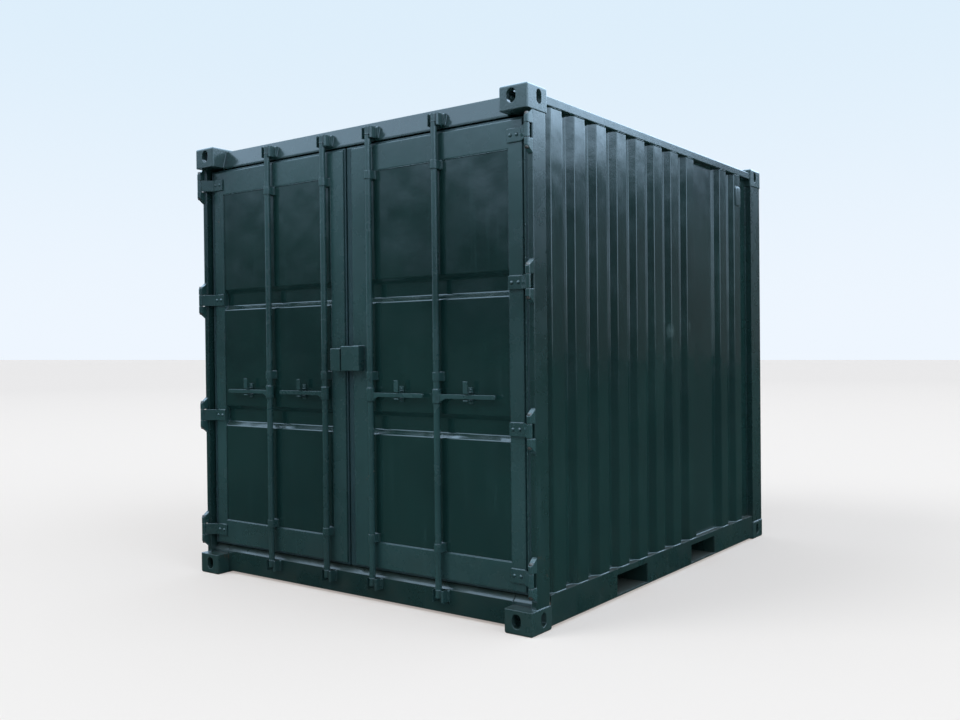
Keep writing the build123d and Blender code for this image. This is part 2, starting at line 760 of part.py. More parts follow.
def leaf_blades(side):
    """Four hinge blades from the pins over the post to the face of a leaf."""
    knee = (side_x(BLADE_KNEE), end_y(BLADE_KNEE_DEPTH))
    foot = (side_x(BLADE_FOOT), end_y(LEAF_FACE) - BLADE / 2)
    tip = (side_x(BLADE_END), end_y(LEAF_FACE) - BLADE / 2)
    with BuildPart() as part:
        for level in hinge_levels():
            with BuildSketch(Plane.XY.offset(level - KNUCKLE_HEIGHT / 2)):
                with BuildLine():
                    centre_line = Polyline((PIN_X, PIN_Y), knee, foot, tip)
                    offset(centre_line, amount=BLADE / 2, side=Side.BOTH)
                make_face()
                with Locations((PIN_X, PIN_Y)):
                    Circle(KNUCKLE_RADIUS)
                    Circle(PIN_RADIUS + PIN_PLAY, mode=Mode.SUBTRACT)
            extrude(amount=KNUCKLE_HEIGHT)
        if side < 0:
            mirror(about=Plane.YZ, mode=Mode.REPLACE)
    return part


def leaf_bars(side):
    """X of a leaf's locking bars."""
    return (side * INNER_BAR, side * OUTER_BAR)


def bracket_levels():
    """Heights of a bar's brackets: beside both cross members, and above the handle."""
    margin = BRACKET_MARGIN + BRACKET_HEIGHT / 2
    return (LEAF_BOTTOM + LEAF_MEMBER + margin, MIDDLE_BRACKET, LEAF_TOP - LEAF_MEMBER - margin)


def leaf_brackets(side):
    """Saddles that hold the bars to the face of a leaf."""
    saddle = BAR_RADIUS + BRACKET_PLATE
    with BuildPart() as part:
        for x in leaf_bars(side):
            for level in bracket_levels():
                with BuildSketch(Plane.XY.offset(level - BRACKET_HEIGHT / 2)):
                    with Locations((x, PANEL_FACE - BRACKET_PLATE / 2)):
                        Rectangle(BRACKET_WIDTH, BRACKET_PLATE)
                    with Locations((x, (BAR_Y + PANEL_FACE) / 2)):
                        Rectangle(2 * saddle, PANEL_FACE - BAR_Y)
                    with Locations((x, BAR_Y)):
                        Circle(saddle)
                        Circle(BAR_RADIUS + BAR_PLAY, mode=Mode.SUBTRACT)
                extrude(amount=BRACKET_HEIGHT)
    return part


def leaf_catches(side):
    """Catches that the handles lie in, each with a tongue standing up in front."""
    half = HANDLE_HEIGHT / 2 + CATCH_CLEARANCE
    front = end_y(LEAF_FACE) - CATCH_DEPTH
    plate = PANEL_FACE - BRACKET_PLATE
    over = HANDLE_LEVEL + half
    under = HANDLE_LEVEL - half
    with BuildPart() as part:
        for x in leaf_bars(side):
            with BuildSketch(Plane.YZ.offset(x + side * CATCH_DISTANCE - CATCH_WIDTH / 2)):
                with BuildLine():
                    Polyline(
                        (PANEL_FACE, under - CATCH_BELOW),
                        (plate, under - CATCH_BELOW),
                        (plate, under - BRACKET_PLATE),
                        (front, under - BRACKET_PLATE),
                        (front, under),
                        (plate, under),
                        (plate, over),
                        (front, over),
                        (front, over + CATCH_TONGUE),
                        (front + BRACKET_PLATE, over + CATCH_TONGUE),
                        (front + BRACKET_PLATE, over + BRACKET_PLATE),
                        (plate, over + BRACKET_PLATE),
                        (plate, over + CATCH_ABOVE),
                        (PANEL_FACE, over + CATCH_ABOVE),
                        close=True,
                    )
                make_face()
            extrude(amount=CATCH_WIDTH)
    return part


def lock_box_half(side):
    """Half of the hood that covers the padlock, open below and towards the seam."""
    near = SEAM_STRIP / 2 if side > 0 else SEAM_STRIP / 2 + SEAM_GAP
    top = LOCK_BOX_TOP if side > 0 else LOCK_BOX_TOP - LOCK_BOX_STEP
    outer = side * LOCK_BOX_REACH
    face = end_y(LEAF_FACE)
    with BuildPart() as part:
        block((-near, outer), (face - LOCK_BOX_DEPTH, face), (LOCK_BOX_BOTTOM, top))
        front_edges = part.faces().sort_by(Axis.Y)[0].edges()
        fillet(front_edges.sort_by(Axis.Z)[-1], LOCK_BOX_WALL)
        block(
            (-near, outer - side * LOCK_BOX_WALL),
            (face - LOCK_BOX_DEPTH + LOCK_BOX_WALL, face),
            (LOCK_BOX_BOTTOM, top - LOCK_BOX_WALL),
            mode=Mode.SUBTRACT,
        )
    return part


for side, name in ((1, "right"), (-1, "left")):
    for piece, make in (
        ("door_frame", leaf_frame),
        ("door_panel", leaf_panel),
        ("door_gasket", leaf_gasket),
        ("hinge_blades", leaf_blades),
        ("bar_brackets", leaf_brackets),
        ("handle_catches", leaf_catches),
        ("lock_box", lock_box_half),
    ):
        leaf_piece = make(side)
        leaf_piece.part.label = f"{name}_{piece}"
        export_step(leaf_piece.part, f"parts/{name}_{piece}.step")


# Locking bars, each with a cam at both ends, and its handle
def locking_bar(x):
    """A round bar with a two-lobed cam at each end."""
    with BuildPart() as part:
        with Locations((x, BAR_Y, (BAR_BOTTOM + BAR_TOP) / 2)):
            Cylinder(BAR_RADIUS, BAR_TOP - BAR_BOTTOM)
        for level in (BAR_BOTTOM, BAR_TOP - CAM_HEIGHT):
            with BuildSketch(Plane.XY.offset(level)):
                with Locations((x, BAR_Y + CAM_BACK)):
                    SlotOverall(2 * CAM_REACH, CAM_THICKNESS)
            extrude(amount=CAM_HEIGHT)
    return part


def bar_handle(x, side):
    """A flat handle on a hub around the bar, with a curved gusset below, pointing outwards."""
    with BuildPart() as part:
        with BuildSketch(Plane.XY.offset(HANDLE_LEVEL - HUB_HEIGHT / 2)):
            with Locations((x, BAR_Y)):
                Circle(BAR_RADIUS + HUB_WALL)
                Circle(BAR_RADIUS + PIN_PLAY, mode=Mode.SUBTRACT)
        extrude(amount=HUB_HEIGHT)
        with BuildSketch(Plane.XZ.offset(-BAR_Y - HANDLE_THICKNESS / 2)):
            top = HANDLE_LEVEL + HANDLE_HEIGHT / 2
            low = HANDLE_LEVEL - HANDLE_HEIGHT / 2
            root = x + side * (BAR_RADIUS + HANDLE_ROOT)
            tip = x + side * HANDLE_LENGTH
            with BuildLine():
                Polyline((root, low), (root, top), (tip, top), (tip, low), close=True)
            section = make_face()
            fillet(section.vertices().group_by(Axis.X)[-1 if side > 0 else 0], HANDLE_ROUND)
            gusset_foot = (root, HANDLE_LEVEL - HUB_HEIGHT / 2)
            gusset_end = (root + side * GUSSET_REACH, low)
            with BuildLine():
                Line((root, low), gusset_foot)
                RadiusArc(gusset_foot, gusset_end, side * GUSSET_REACH)
                Line(gusset_end, (root, low))
            make_face()
        extrude(amount=HANDLE_THICKNESS)
    return part


for x, name in zip(bar_places(), ("left_outer", "left_inner", "right_inner", "right_outer")):
    bar = locking_bar(x)
    bar.part.label = f"{name}_locking_bar"
    export_step(bar.part, f"parts/{name}_locking_bar.step")
    handle = bar_handle(x, 1 if x > 0 else -1)
    handle.part.label = f"{name}_handle"
    export_step(handle.part, f"parts/{name}_handle.step")
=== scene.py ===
"""Looks of a ten foot steel shipping container: paint, wear, welds, fasteners and seals."""
import bpy
import math
import random
from mathutils import Matrix, Vector


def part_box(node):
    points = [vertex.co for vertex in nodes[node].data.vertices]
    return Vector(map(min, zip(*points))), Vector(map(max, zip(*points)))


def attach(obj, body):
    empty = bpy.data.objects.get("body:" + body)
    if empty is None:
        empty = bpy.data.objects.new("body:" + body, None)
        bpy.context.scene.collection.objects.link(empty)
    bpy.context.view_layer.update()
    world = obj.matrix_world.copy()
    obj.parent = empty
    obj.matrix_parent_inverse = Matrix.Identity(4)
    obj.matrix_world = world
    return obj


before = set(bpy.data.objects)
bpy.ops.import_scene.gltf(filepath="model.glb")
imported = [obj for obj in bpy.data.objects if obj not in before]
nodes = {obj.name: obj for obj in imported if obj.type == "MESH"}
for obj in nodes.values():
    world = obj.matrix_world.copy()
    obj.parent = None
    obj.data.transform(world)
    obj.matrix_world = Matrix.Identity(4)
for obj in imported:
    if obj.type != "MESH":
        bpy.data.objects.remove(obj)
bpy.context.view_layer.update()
random.seed(11)


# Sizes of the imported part, in millimetres, mostly under the names that its source gives them
LENGTH, WIDTH, HEIGHT = 2991, 2438, 2591
CASTING_X, CASTING_Y, CASTING_Z = 162, 178, 118
GROUND_CLEARANCE, FLOOR_TOP = 15, 165
HEADER_BOTTOM, HEADER_TOP = 2466, 2572
HEADER_FRONT, HEADER_LIP, HEADER_TOP_FRONT = 82, 10, 106
SILL_FRONT, SILL_BEVEL = 80, 30
POST_INSET, POST_FRONT, POST_LEG, POST_STEP, POST_BACK, POST_REACH = 3, 48, 33, 122, 160, 96
BLIND_POST_INSET, BLIND_POST_LENGTH, BLIND_POST_REACH, BLIND_POST_LIP = 4, 174, 120, 60
RAIL_INSET, TOP_RAIL_BOTTOM, BOTTOM_FLANGE = 8, 2515, 45
ROOF_LEVEL, ROOF_SETBACK = 2561, 20
WALL_INSET, WAVE_DEPTH, WAVE_CREST, WAVE_SLOPE, WAVE_BEND, SHEET = 12, 34, 104, 34, 14, 4
WAVE_PITCH, FIRST_CREST, CRESTS_BEFORE_PANEL = 222, 274, 8
PANEL_WIDTH, FAR_PITCH, CRESTS_AFTER_PANEL = 514, 245, 2
END_WAVE_PITCH, END_CREST_COUNT = 250, 8
BOARD_COUNT, FLOOR_PLAY = 8, 1
LOWEST_HINGE, HINGE_PITCH, HINGE_COUNT = 263, 702, 4
PIN_INSET, PIN_DEPTH, KNUCKLE_RADIUS, KNUCKLE_HEIGHT = 14, 17, 13, 66
MOUTH, LUG_REACH, LUG_FACE = 71, 104, 70
BLADE, BLADE_END = 10, 160
LEAF_FACE, LEAF_BOTTOM, LEAF_TOP, LEAF_MEMBER = 75, 185, 2447, 140
LEAF_OUTER_INSET, OUTER_STILE, INNER_STILE, PANEL_FACE = 80, 84, 100, 79
GROOVE_HEIGHT, GROOVE_DEPTH, GROOVE_BEND = 125, 26, 9
SEAM_STRIP, SEAM_GAP, LEFT_SEAM_LIP = 48, 10, 8
GASKET_SET_BACK, GASKET_LIP, GASKET_OUTER_INSET = 11, 13, 42
INNER_BAR, OUTER_BAR, BAR_RADIUS, BAR_DEPTH = 171, 624, 17, 47
BAR_BOTTOM, BAR_TOP, CAM_HEIGHT = 95, 2538, 40
BRACKET_WIDTH, BRACKET_HEIGHT, BRACKET_LEVELS = 56, 44, (349, 1215, 2283)
HANDLE_LEVEL, HUB_HEIGHT = 1116, 70
CATCH_DISTANCE, CATCH_PLATE = 195, 5
KEEPER_GAP, KEEPER_FOOT, KEEPER_HEIGHT, KEEPER_RISE = 27, 20, 62, 12
LOCK_BOX_REACH, LOCK_BOX_BOTTOM, LOCK_BOX_TOP, LOCK_BOX_STEP = 106, 1242, 1376, 12

# Places that follow from these sizes
LAST_BEFORE_PANEL = FIRST_CREST + WAVE_PITCH * (CRESTS_BEFORE_PANEL - 1)
SIDE_CRESTS = [FIRST_CREST + WAVE_PITCH * n for n in range(CRESTS_BEFORE_PANEL)]
SIDE_CRESTS += [LAST_BEFORE_PANEL + PANEL_WIDTH + FAR_PITCH * n for n in range(CRESTS_AFTER_PANEL)]
END_CRESTS = [(n - (END_CREST_COUNT - 1) / 2) * END_WAVE_PITCH for n in range(END_CREST_COUNT)]
HINGES = [LOWEST_HINGE + HINGE_PITCH * n for n in range(HINGE_COUNT)]
BARS = (-OUTER_BAR, -INNER_BAR, INNER_BAR, OUTER_BAR)
BAR_NAMES = ("left_outer", "left_inner", "right_inner", "right_outer")

# Sizes of the pieces that this script adds, in millimetres
WELD_SIDES, WELD_OUT, SHARP_ANGLE = 6, 1.0, 40
BLADE_START, BLADE_RIVETS, BLADE_RIVET_RADIUS = 86, (104, 142), 9
CATCH_RIVETS, CATCH_RIVET_RADIUS = (34, -30), 5
SEAL_LIPS = ((11, 3.2), (20, 2.2))  # inset from the seal's edge, and radius
SEAM_LIPS = ((-14, 3.2), (-4, 2.2), (5, 2.2))  # X near the middle, and radius
CLAMP_WIDTH, CLAMP_THICKNESS, CLAMP_RIVETS, CLAMP_RIVET_RADIUS = 11, 1.8, 15, 3.0
VENT_BOTTOM, VENT_TOP, VENT_HALF_WIDTH, VENT_SLATS, VENT_SLAT_PITCH = 2300, 2440, 47, 5, 17
SILL_PLATE = 5
MEMBER_LINES, END_LINE_INSET = (-675, -277, 0, 277, 675), 24
BOARD_SCREWS = (0.16, 0.84)


def end_y(depth):
    """The plane at a depth behind the face of the door end castings."""
    return depth - LENGTH / 2


def side_x(inset):
    """The plane at an inset from the right side of the box."""
    return WIDTH / 2 - inset


# Camera, at the photo's angle
PHOTO_WIDTH, PHOTO_HEIGHT, PHOTO_FOCAL = 960, 720, 963.6
SENSOR_WIDTH = 36
CAMERA_PLACE = Vector((3.692, -5.2275, 1.350))


def view_axes(yaw, pitch, roll):
    """The right, up and forward directions of a camera turned by three angles in degrees."""
    yaw, pitch, roll = (math.radians(angle) for angle in (yaw, pitch, roll))
    forward = Vector((-math.sin(yaw) * math.cos(pitch), math.cos(yaw) * math.cos(pitch), math.sin(pitch)))
    level = Vector((math.cos(yaw), math.sin(yaw), 0))
    upright = level.cross(forward)
    right = math.cos(roll) * level + math.sin(roll) * upright
    up = math.cos(roll) * upright - math.sin(roll) * level
    return right, up, forward


CAMERA_AXES = view_axes(36.47, -0.63, -0.60)


def make_camera():
    right, up, forward = CAMERA_AXES
    data = bpy.data.cameras.new("camera")
    data.sensor_width = SENSOR_WIDTH
    data.lens = PHOTO_FOCAL / PHOTO_WIDTH * SENSOR_WIDTH
    data.clip_end = 500
    camera = bpy.data.objects.new("camera", data)
    bpy.context.scene.collection.objects.link(camera)
    turn = Matrix((right, up, -forward)).transposed().to_4x4()
    camera.matrix_world = Matrix.Translation(CAMERA_PLACE) @ turn
    bpy.context.scene.camera = camera


# Node helpers
class Tree:
    """A short way to write a node tree: add() makes a node, and a link is made by passing an output."""

    def __init__(self, owner):
        owner.use_nodes = True
        self.tree = owner.node_tree
        self.tree.nodes.clear()

    def add(self, kind, sockets=None, **settings):
        node = self.tree.nodes.new(kind)
        for key, value in settings.items():
            setattr(node, key, value)
        for key, value in (sockets or {}).items():
            if isinstance(value, bpy.types.NodeSocket):
                self.tree.links.new(value, node.inputs[key])
            else:
                node.inputs[key].default_value = value
        return node

    def math(self, operation, a, b=0.0, clamp=False):
        node = self.add("ShaderNodeMath", {0: a, 1: b}, operation=operation, use_clamp=clamp)
        return node.outputs[0]

    def vector(self, operation, a, b=None):
        """Vector maths: a sum gives a vector, and a length, distance or dot product a value."""
        node = self.add("ShaderNodeVectorMath", {0: a} if b is None else {0: a, 1: b}, operation=operation)
        return node.outputs["Vector" if operation in ("ADD", "SUBTRACT") else "Value"]

    def part(self, vector, axis):
        return self.add("ShaderNodeSeparateXYZ", {0: vector}).outputs[axis]

    def mix(self, share, a, b):
        return self.add("ShaderNodeMix", {0: share, 6: a, 7: b}, data_type="RGBA").outputs[2]

    def noise(self, where, scale, detail=4.0, rough=0.5, distortion=0.0):
        return self.add("ShaderNodeTexNoise", {
            "Vector": where, "Scale": scale, "Detail": detail, "Roughness": rough,
            "Distortion": distortion}).outputs["Fac"]

    def span(self, value, low, high, to_low=0.0, to_high=1.0, smooth=True):
        """Carries a value from the range low to high over to the range to_low to to_high."""
        sockets = {0: value, 1: low, 2: high, 3: to_low, 4: to_high}
        kind = "SMOOTHSTEP" if smooth else "LINEAR"
        return self.add("ShaderNodeMapRange", sockets, interpolation_type=kind).outputs[0]

    def stretch(self, where, scale):
        return self.add("ShaderNodeMapping", {"Vector": where, "Scale": scale}).outputs[0]

    def bump(self, height, strength, distance, normal=None):
        sockets = {"Height": height, "Strength": strength, "Distance": distance}
        if normal is not None:
            sockets["Normal"] = normal
        return self.add("ShaderNodeBump", sockets).outputs[0]

    def ramp(self, value, stops):
        """A colour ramp through (place, colour) stops."""
        node = self.add("ShaderNodeValToRGB", {0: value})
        elements = node.color_ramp.elements
        while len(elements) < len(stops):
            elements.new(0.5)
        for element, (place, colour) in zip(elements, stops):
            element.position = place
            element.color = colour
        return node.outputs[0]

    def background(self, colour, strength):
        return self.add("ShaderNodeBackground", {"Color": colour, "Strength": strength}).outputs[0]

    def diffuse(self, colour):
        return self.add("ShaderNodeBsdfDiffuse", {"Color": colour}).outputs[0]

    def either(self, share, a, b):
        """A mix of two shaders."""
        return self.add("ShaderNodeMixShader", {0: share, 1: a, 2: b}).outputs[0]


def new_material(name):
    """A material, its empty tree, and the place on the object in metres."""
    material = bpy.data.materials.new(name)
    t = Tree(material)
    return material, t, t.add("ShaderNodeTexCoord").outputs["Object"]


def rgb(red, green, blue):
    """A colour written as it shows on a screen, from 0 to 255."""
    def linear(level):
        level /= 255
        return level / 12.92 if level <= 0.04045 else ((level + 0.055) / 1.055) ** 2.4
    return (linear(red), linear(green), linear(blue), 1.0)


def grey_blue(level, tint=1.0):
    """Sky light of a given level, bluer with more tint."""
    return (level * (1 - 0.30 * tint), level * (1 - 0.02 * tint), level * (1 + 0.28 * tint), 1)


# World: a pale backdrop for the camera, and an overcast sky for light and for gloss.
# Each sky is a list of (height, level, tint) stops, where the height is the Z of the direction.
SKY_STRENGTH, AMBIENT_STRENGTH = 4.0, 0.88
FRONT_SKY = [
    (0.03, 0.008, 0.3), (0.09, 0.016, 0.6), (0.14, 0.046, 1), (0.20, 0.13, 1),
    (0.24, 0.26, 1), (0.27, 0.46, 1), (0.66, 0.47, 1), (0.85, 0.90, 1)]
SIDE_SKY = [
    (0.03, 0.020, 0.3), (0.11, 0.030, 0.6), (0.16, 0.038, 1), (0.185, 0.08, 1),
    (0.205, 0.30, 1), (0.235, 0.80, 1), (0.60, 0.70, 1)]
GAP_SKY = [(0.00, 0.10, 0.5), (0.06, 0.30, 0.7), (0.14, 0.55, 1), (0.60, 0.80, 1)]
GAP_DIRECTION = (0.98, 0.20, 0.0)


def make_world():
    world = bpy.data.worlds.new("studio")
    bpy.context.scene.world = world
    t = Tree(world)
    direction = t.add("ShaderNodeTexCoord").outputs["Generated"]
    axes = t.add("ShaderNodeSeparateXYZ", {0: direction}).outputs
    height = axes["Z"]
    backdrop = t.mix(t.span(height, 0.0, 0.36), rgb(238, 246, 255), rgb(221, 238, 251))
    seen = t.background(backdrop, 1.0)

    def sky(rows):
        return t.ramp(height, [(place, grey_blue(level, tint)) for place, level, tint in rows])

    toward_side = t.span(t.math("ADD", axes["X"], axes["Y"]), -0.3, 0.5)
    colour = t.mix(toward_side, sky(FRONT_SKY), sky(SIDE_SKY))
    # A gap of open sky on the right, which draws a thin light line down each bend of the walls
    toward_gap = t.vector("DOT_PRODUCT", direction, GAP_DIRECTION)
    colour = t.mix(t.span(toward_gap, 0.90, 0.975), colour, sky(GAP_SKY))
    left = t.math("MULTIPLY", t.span(axes["X"], -0.85, -0.93), t.span(height, -0.05, 0.05))
    colour = t.mix(left, colour, grey_blue(0.12))
    soft = t.mix(t.span(height, -0.1, 0.5), (0.5, 0.53, 0.56, 1), (0.86, 0.94, 1.0, 1))
    path = t.add("ShaderNodeLightPath").outputs
    unseen = t.either(
        path["Is Glossy Ray"], t.background(soft, AMBIENT_STRENGTH), t.background(colour, SKY_STRENGTH))
    t.add("ShaderNodeOutputWorld", {"Surface": t.either(path["Is Camera Ray"], unseen, seen)})


def on_ground(column, row):
    """The point of the ground that the camera sees at a place in the photo."""
    right, up, forward = CAMERA_AXES
    ray = forward + right * (column - PHOTO_WIDTH / 2) / PHOTO_FOCAL
    ray += up * (PHOTO_HEIGHT / 2 - row) / PHOTO_FOCAL
    return CAMERA_PLACE - ray * CAMERA_PLACE.z / ray.z


FLOOR_CORNERS, FLOOR_FAR, FLOOR_NEAR = 180, 450.0, 140.0
HORIZON_ROW, PAST_EDGE = 360, 60


def make_floor():
    """A wide floor, ended behind the object by a line that shows level at mid height."""
    mesh = bpy.data.meshes.new("studio_floor")
    left = on_ground(-PAST_EDGE, HORIZON_ROW)
    right = on_ground(PHOTO_WIDTH + PAST_EDGE, HORIZON_ROW)
    line = (right - left).normalized()
    away = Vector((-line.y, line.x, 0))
    edge = left.dot(away)
    corners = []
    for number in range(FLOOR_CORNERS):
        turn = number * math.tau / FLOOR_CORNERS
        ray = Vector((math.cos(turn), math.sin(turn), 0))
        facing = ray.dot(away)
        corners.append(ray * (min(FLOOR_FAR, edge / facing) if facing > 0.05 else FLOOR_NEAR))
    mesh.from_pydata(corners, [], [list(range(len(corners)))])
    floor = bpy.data.objects.new("studio_floor", mesh)
    bpy.context.scene.collection.objects.link(floor)

    material, t, where = new_material("studio_floor")
    near = t.span(t.vector("DISTANCE", where, tuple(CAMERA_PLACE)), 40.0, 3.0, smooth=False)
    glow = t.mix(near, (0.26, 0.225, 0.21, 1), (0.37, 0.335, 0.315, 1))
    lift = t.add("ShaderNodeEmission", {"Color": glow, "Strength": 1.0}).outputs[0]
    seen = t.add("ShaderNodeAddShader", {0: t.diffuse((0.50, 0.50, 0.50, 1)), 1: lift}).outputs[0]
    path = t.add("ShaderNodeLightPath").outputs
    unseen = t.either(
        path["Is Glossy Ray"], t.diffuse((0.62, 0.62, 0.62, 1)), t.diffuse((0.034, 0.054, 0.052, 1)))
    t.add("ShaderNodeOutputMaterial", {"Surface": t.either(path["Is Camera Ray"], unseen, seen)})
    mesh.materials.append(material)


def make_lamp(name, toward, energy, spread, colour):
    data = bpy.data.lights.new(name, "SUN")
    data.energy = energy
    data.angle = math.radians(spread)
    data.color = colour
    lamp = bpy.data.objects.new(name, data)
    lamp.visible_glossy = False
    lamp.rotation_euler = Vector(toward).to_track_quat("Z", "Y").to_euler()
    bpy.context.scene.collection.objects.link(lamp)


make_camera()
make_world()
make_floor()
make_lamp("key", (-0.55, -0.70, 0.85), 1.0, 30, (1.0, 0.98, 0.95))
make_lamp("fill", (0.9, 0.1, 0.5), 1.1, 60, (0.95, 0.98, 1.0))
bpy.context.scene.view_settings.view_transform = "Standard"


# Colours of the paint and of what lies on it or shows through it, and of the highlights painted on it
GREEN, DEEP = rgb(22, 50, 49), rgb(15, 40, 40)
STREAK, SHADE, GRIME, DUST = rgb(52, 82, 84), rgb(12, 28, 28), rgb(48, 54, 44), rgb(92, 102, 98)
# The lighter edge colour is partly wear and partly a painted highlight along the edges
WORN_EDGE_AND_HIGHLIGHT, HIGHLIGHT_TINT = rgb(70, 96, 98), rgb(88, 112, 116)
DARK_RUST, LIGHT_RUST = rgb(66, 38, 24), rgb(108, 64, 36)
DARK_SOIL, LIGHT_SOIL = rgb(22, 28, 24), rgb(50, 52, 42)
DUST_SHARE, DULL = 0.5, 0.85

# Width of one tone of wood, in metres, close to the pitch of the floor boards
TONE_WIDTH = 0.2886

# Painted highlights on the right wall, two small crescent-shaped light marks: centre and half size of
# each, in metres
WALL_HIGHLIGHTS = [
    ((1.185, 0.0715, 1.447), (0.030, 0.045, 0.075)),
    ((1.185, 0.3065, 1.480), (0.030, 0.030, 0.070)),
]


def ledge_soil(t, where, height, up, soft_normal, share):
    """Where dirt lies: on the flat ledges near the ground, less on the sill's bevel."""
    soft_up = t.part(soft_normal, "Z")
    off_bevel = t.math("ABSOLUTE", t.math("SUBTRACT", up, 0.7071))
    mask = t.math("MULTIPLY", t.span(soft_up, 0.2, 0.6), t.span(height, 0.26, 0.20))
    mask = t.math("MULTIPLY", mask, t.span(off_bevel, 0.05, 0.15, 0.45, 1.0))
    broken = t.span(t.noise(where, 9, 5, 0.65), 0.35, 0.55, 0.55, 1.0)
    flat = t.span(soft_up, 0.90, 0.98)
    return t.math("MULTIPLY", t.math("MULTIPLY", mask, t.math("MAXIMUM", broken, flat)), share, True)


def paint_relief(t, where, normal, peel, dents):
    """Orange peel, slow waves and runs in thick paint, over the dents of the sheet."""
    normal = t.bump(t.noise(where, 150, 3, 0.5), peel, 0.002, normal)
    normal = t.bump(t.noise(where, 16, 3, 0.45), 0.3, 0.0014, normal)
    runs = t.noise(t.stretch(where, (60, 60, 3)), 1.0, 3, 0.5)
    normal = t.bump(t.span(runs, 0.62, 0.8), 0.25, 0.0015, normal)
    if dents:
        push = t.noise(t.stretch(where, (1, 1, 0.8)), 3.1, 2, 0.45)
        normal = t.bump(push, 1.0, dents, normal)
    return normal


# Materials
def paint(
        name, base, deep, rough=0.22, coat=0.8, peel=0.05, dents=0.0, rust=0.0, highlight_spots=(),
        edges=True, soil=0.0):
    """Thick gloss repaint over old steel, worn at its edges with a painted highlight along them, with
    painted highlights at given spots, and dusty where dust can lie.
    """
    material, t, where = new_material(name)
    true_normal = t.add("ShaderNodeNewGeometry").outputs["Normal"]
    up, height = t.part(true_normal, "Z"), t.part(where, "Z")
    soft_normal = true_normal
    if edges:
        soft_normal = t.add("ShaderNodeBevel", {"Radius": 0.005}, samples=3).outputs[0]
    edge = t.span(t.vector("DOT_PRODUCT", soft_normal, true_normal), 0.985, 0.80)

    colour = t.mix(t.span(t.noise(where, 0.9, 5, 0.55), 0.35, 0.68), deep, base)
    streaks = t.noise(t.stretch(where, (9, 9, 0.55)), 2.0, 5, 0.6)
    colour = t.mix(t.math("MULTIPLY", t.span(streaks, 0.56, 0.78), 0.22), colour, STREAK)
    fade = t.noise(where, 14, 6, 0.65)
    colour = t.mix(t.math("MULTIPLY", t.span(fade, 0.55, 0.8), 0.25), colour, SHADE)
    grime = t.span(t.noise(where, 5, 6, 0.7), 0.35, 0.75)
    grime = t.math("MULTIPLY", t.span(height, 0.5, 0.0), grime, True)
    colour = t.mix(t.math("MULTIPLY", grime, 0.30), colour, GRIME)
    settled = t.math("MULTIPLY", t.span(up, 0.5, 0.95), t.span(t.noise(where, 7, 5, 0.7), 0.3, 0.8))
    colour = t.mix(t.math("MULTIPLY", settled, DUST_SHARE), colour, DUST)
    # Lighter paint along the edges, broken by noise: partly wear, partly a painted highlight where the
    # edges catch the sky
    wear = t.math("MULTIPLY", edge, t.span(t.noise(where, 42, 6, 0.7), 0.38, 0.62), True)
    colour = t.mix(t.math("MULTIPLY", wear, 0.55), colour, WORN_EDGE_AND_HIGHLIGHT)
    roughness = t.span(t.noise(where, 6, 5, 0.6), 0.3, 0.7, rough - 0.05, rough + 0.08)
    roughness = t.math("ADD", roughness, t.math("MULTIPLY", settled, 0.35 * DUST_SHARE))
    roughness = t.math("ADD", roughness, t.math("MULTIPLY", grime, 0.15))

    # Painted highlights: lighter spots at the given places on the wall
    for centre, size in highlight_spots:
        offset = t.stretch(t.vector("SUBTRACT", where, centre), tuple(1 / each for each in size))
        near = t.span(t.vector("LENGTH", offset), 1.0, 0.4)
        mark = t.math("MULTIPLY", near, t.span(t.noise(where, 40, 5, 0.7), 0.3, 0.55), True)
        colour = t.mix(t.math("MULTIPLY", mark, 0.8), colour, HIGHLIGHT_TINT)
    if rust:
        spots = t.noise(where, 26, 8, 0.75, 0.4)
        area = t.span(t.noise(where, 2.3, 3, 0.6), 0.5, 0.7)
        chips = t.math("MULTIPLY", edge, t.span(t.noise(where, 70, 6, 0.7), 0.60, 0.66), True)
        mask = t.math("MULTIPLY", t.span(spots, 0.64 - 0.10 * rust, 0.70), area, True)
        mask = t.math("MAXIMUM", mask, t.math("MULTIPLY", chips, rust))
        colour = t.mix(mask, colour, t.mix(t.noise(where, 60, 4), DARK_RUST, LIGHT_RUST))
        roughness = t.math("MAXIMUM", roughness, t.math("MULTIPLY", mask, DULL))
    if soil:
        mask = ledge_soil(t, where, height, up, soft_normal, soil)
        colour = t.mix(mask, colour, t.mix(t.noise(where, 55, 5, 0.7), DARK_SOIL, LIGHT_SOIL))
        roughness = t.math("MAXIMUM", roughness, t.math("MULTIPLY", mask, DULL))
        coat = t.math("MULTIPLY", t.math("SUBTRACT", 1.0, mask), coat)

    relief = paint_relief(t, where, soft_normal, peel, dents)
    shader = t.add("ShaderNodeBsdfPrincipled", {
        "Base Color": colour, "Roughness": roughness, "Normal": relief,
        "Coat Weight": coat, "Coat Roughness": 0.08, "Coat Normal": relief, "IOR": 1.5,
    })
    t.add("ShaderNodeOutputMaterial", {"Surface": shader.outputs[0]})
    return material


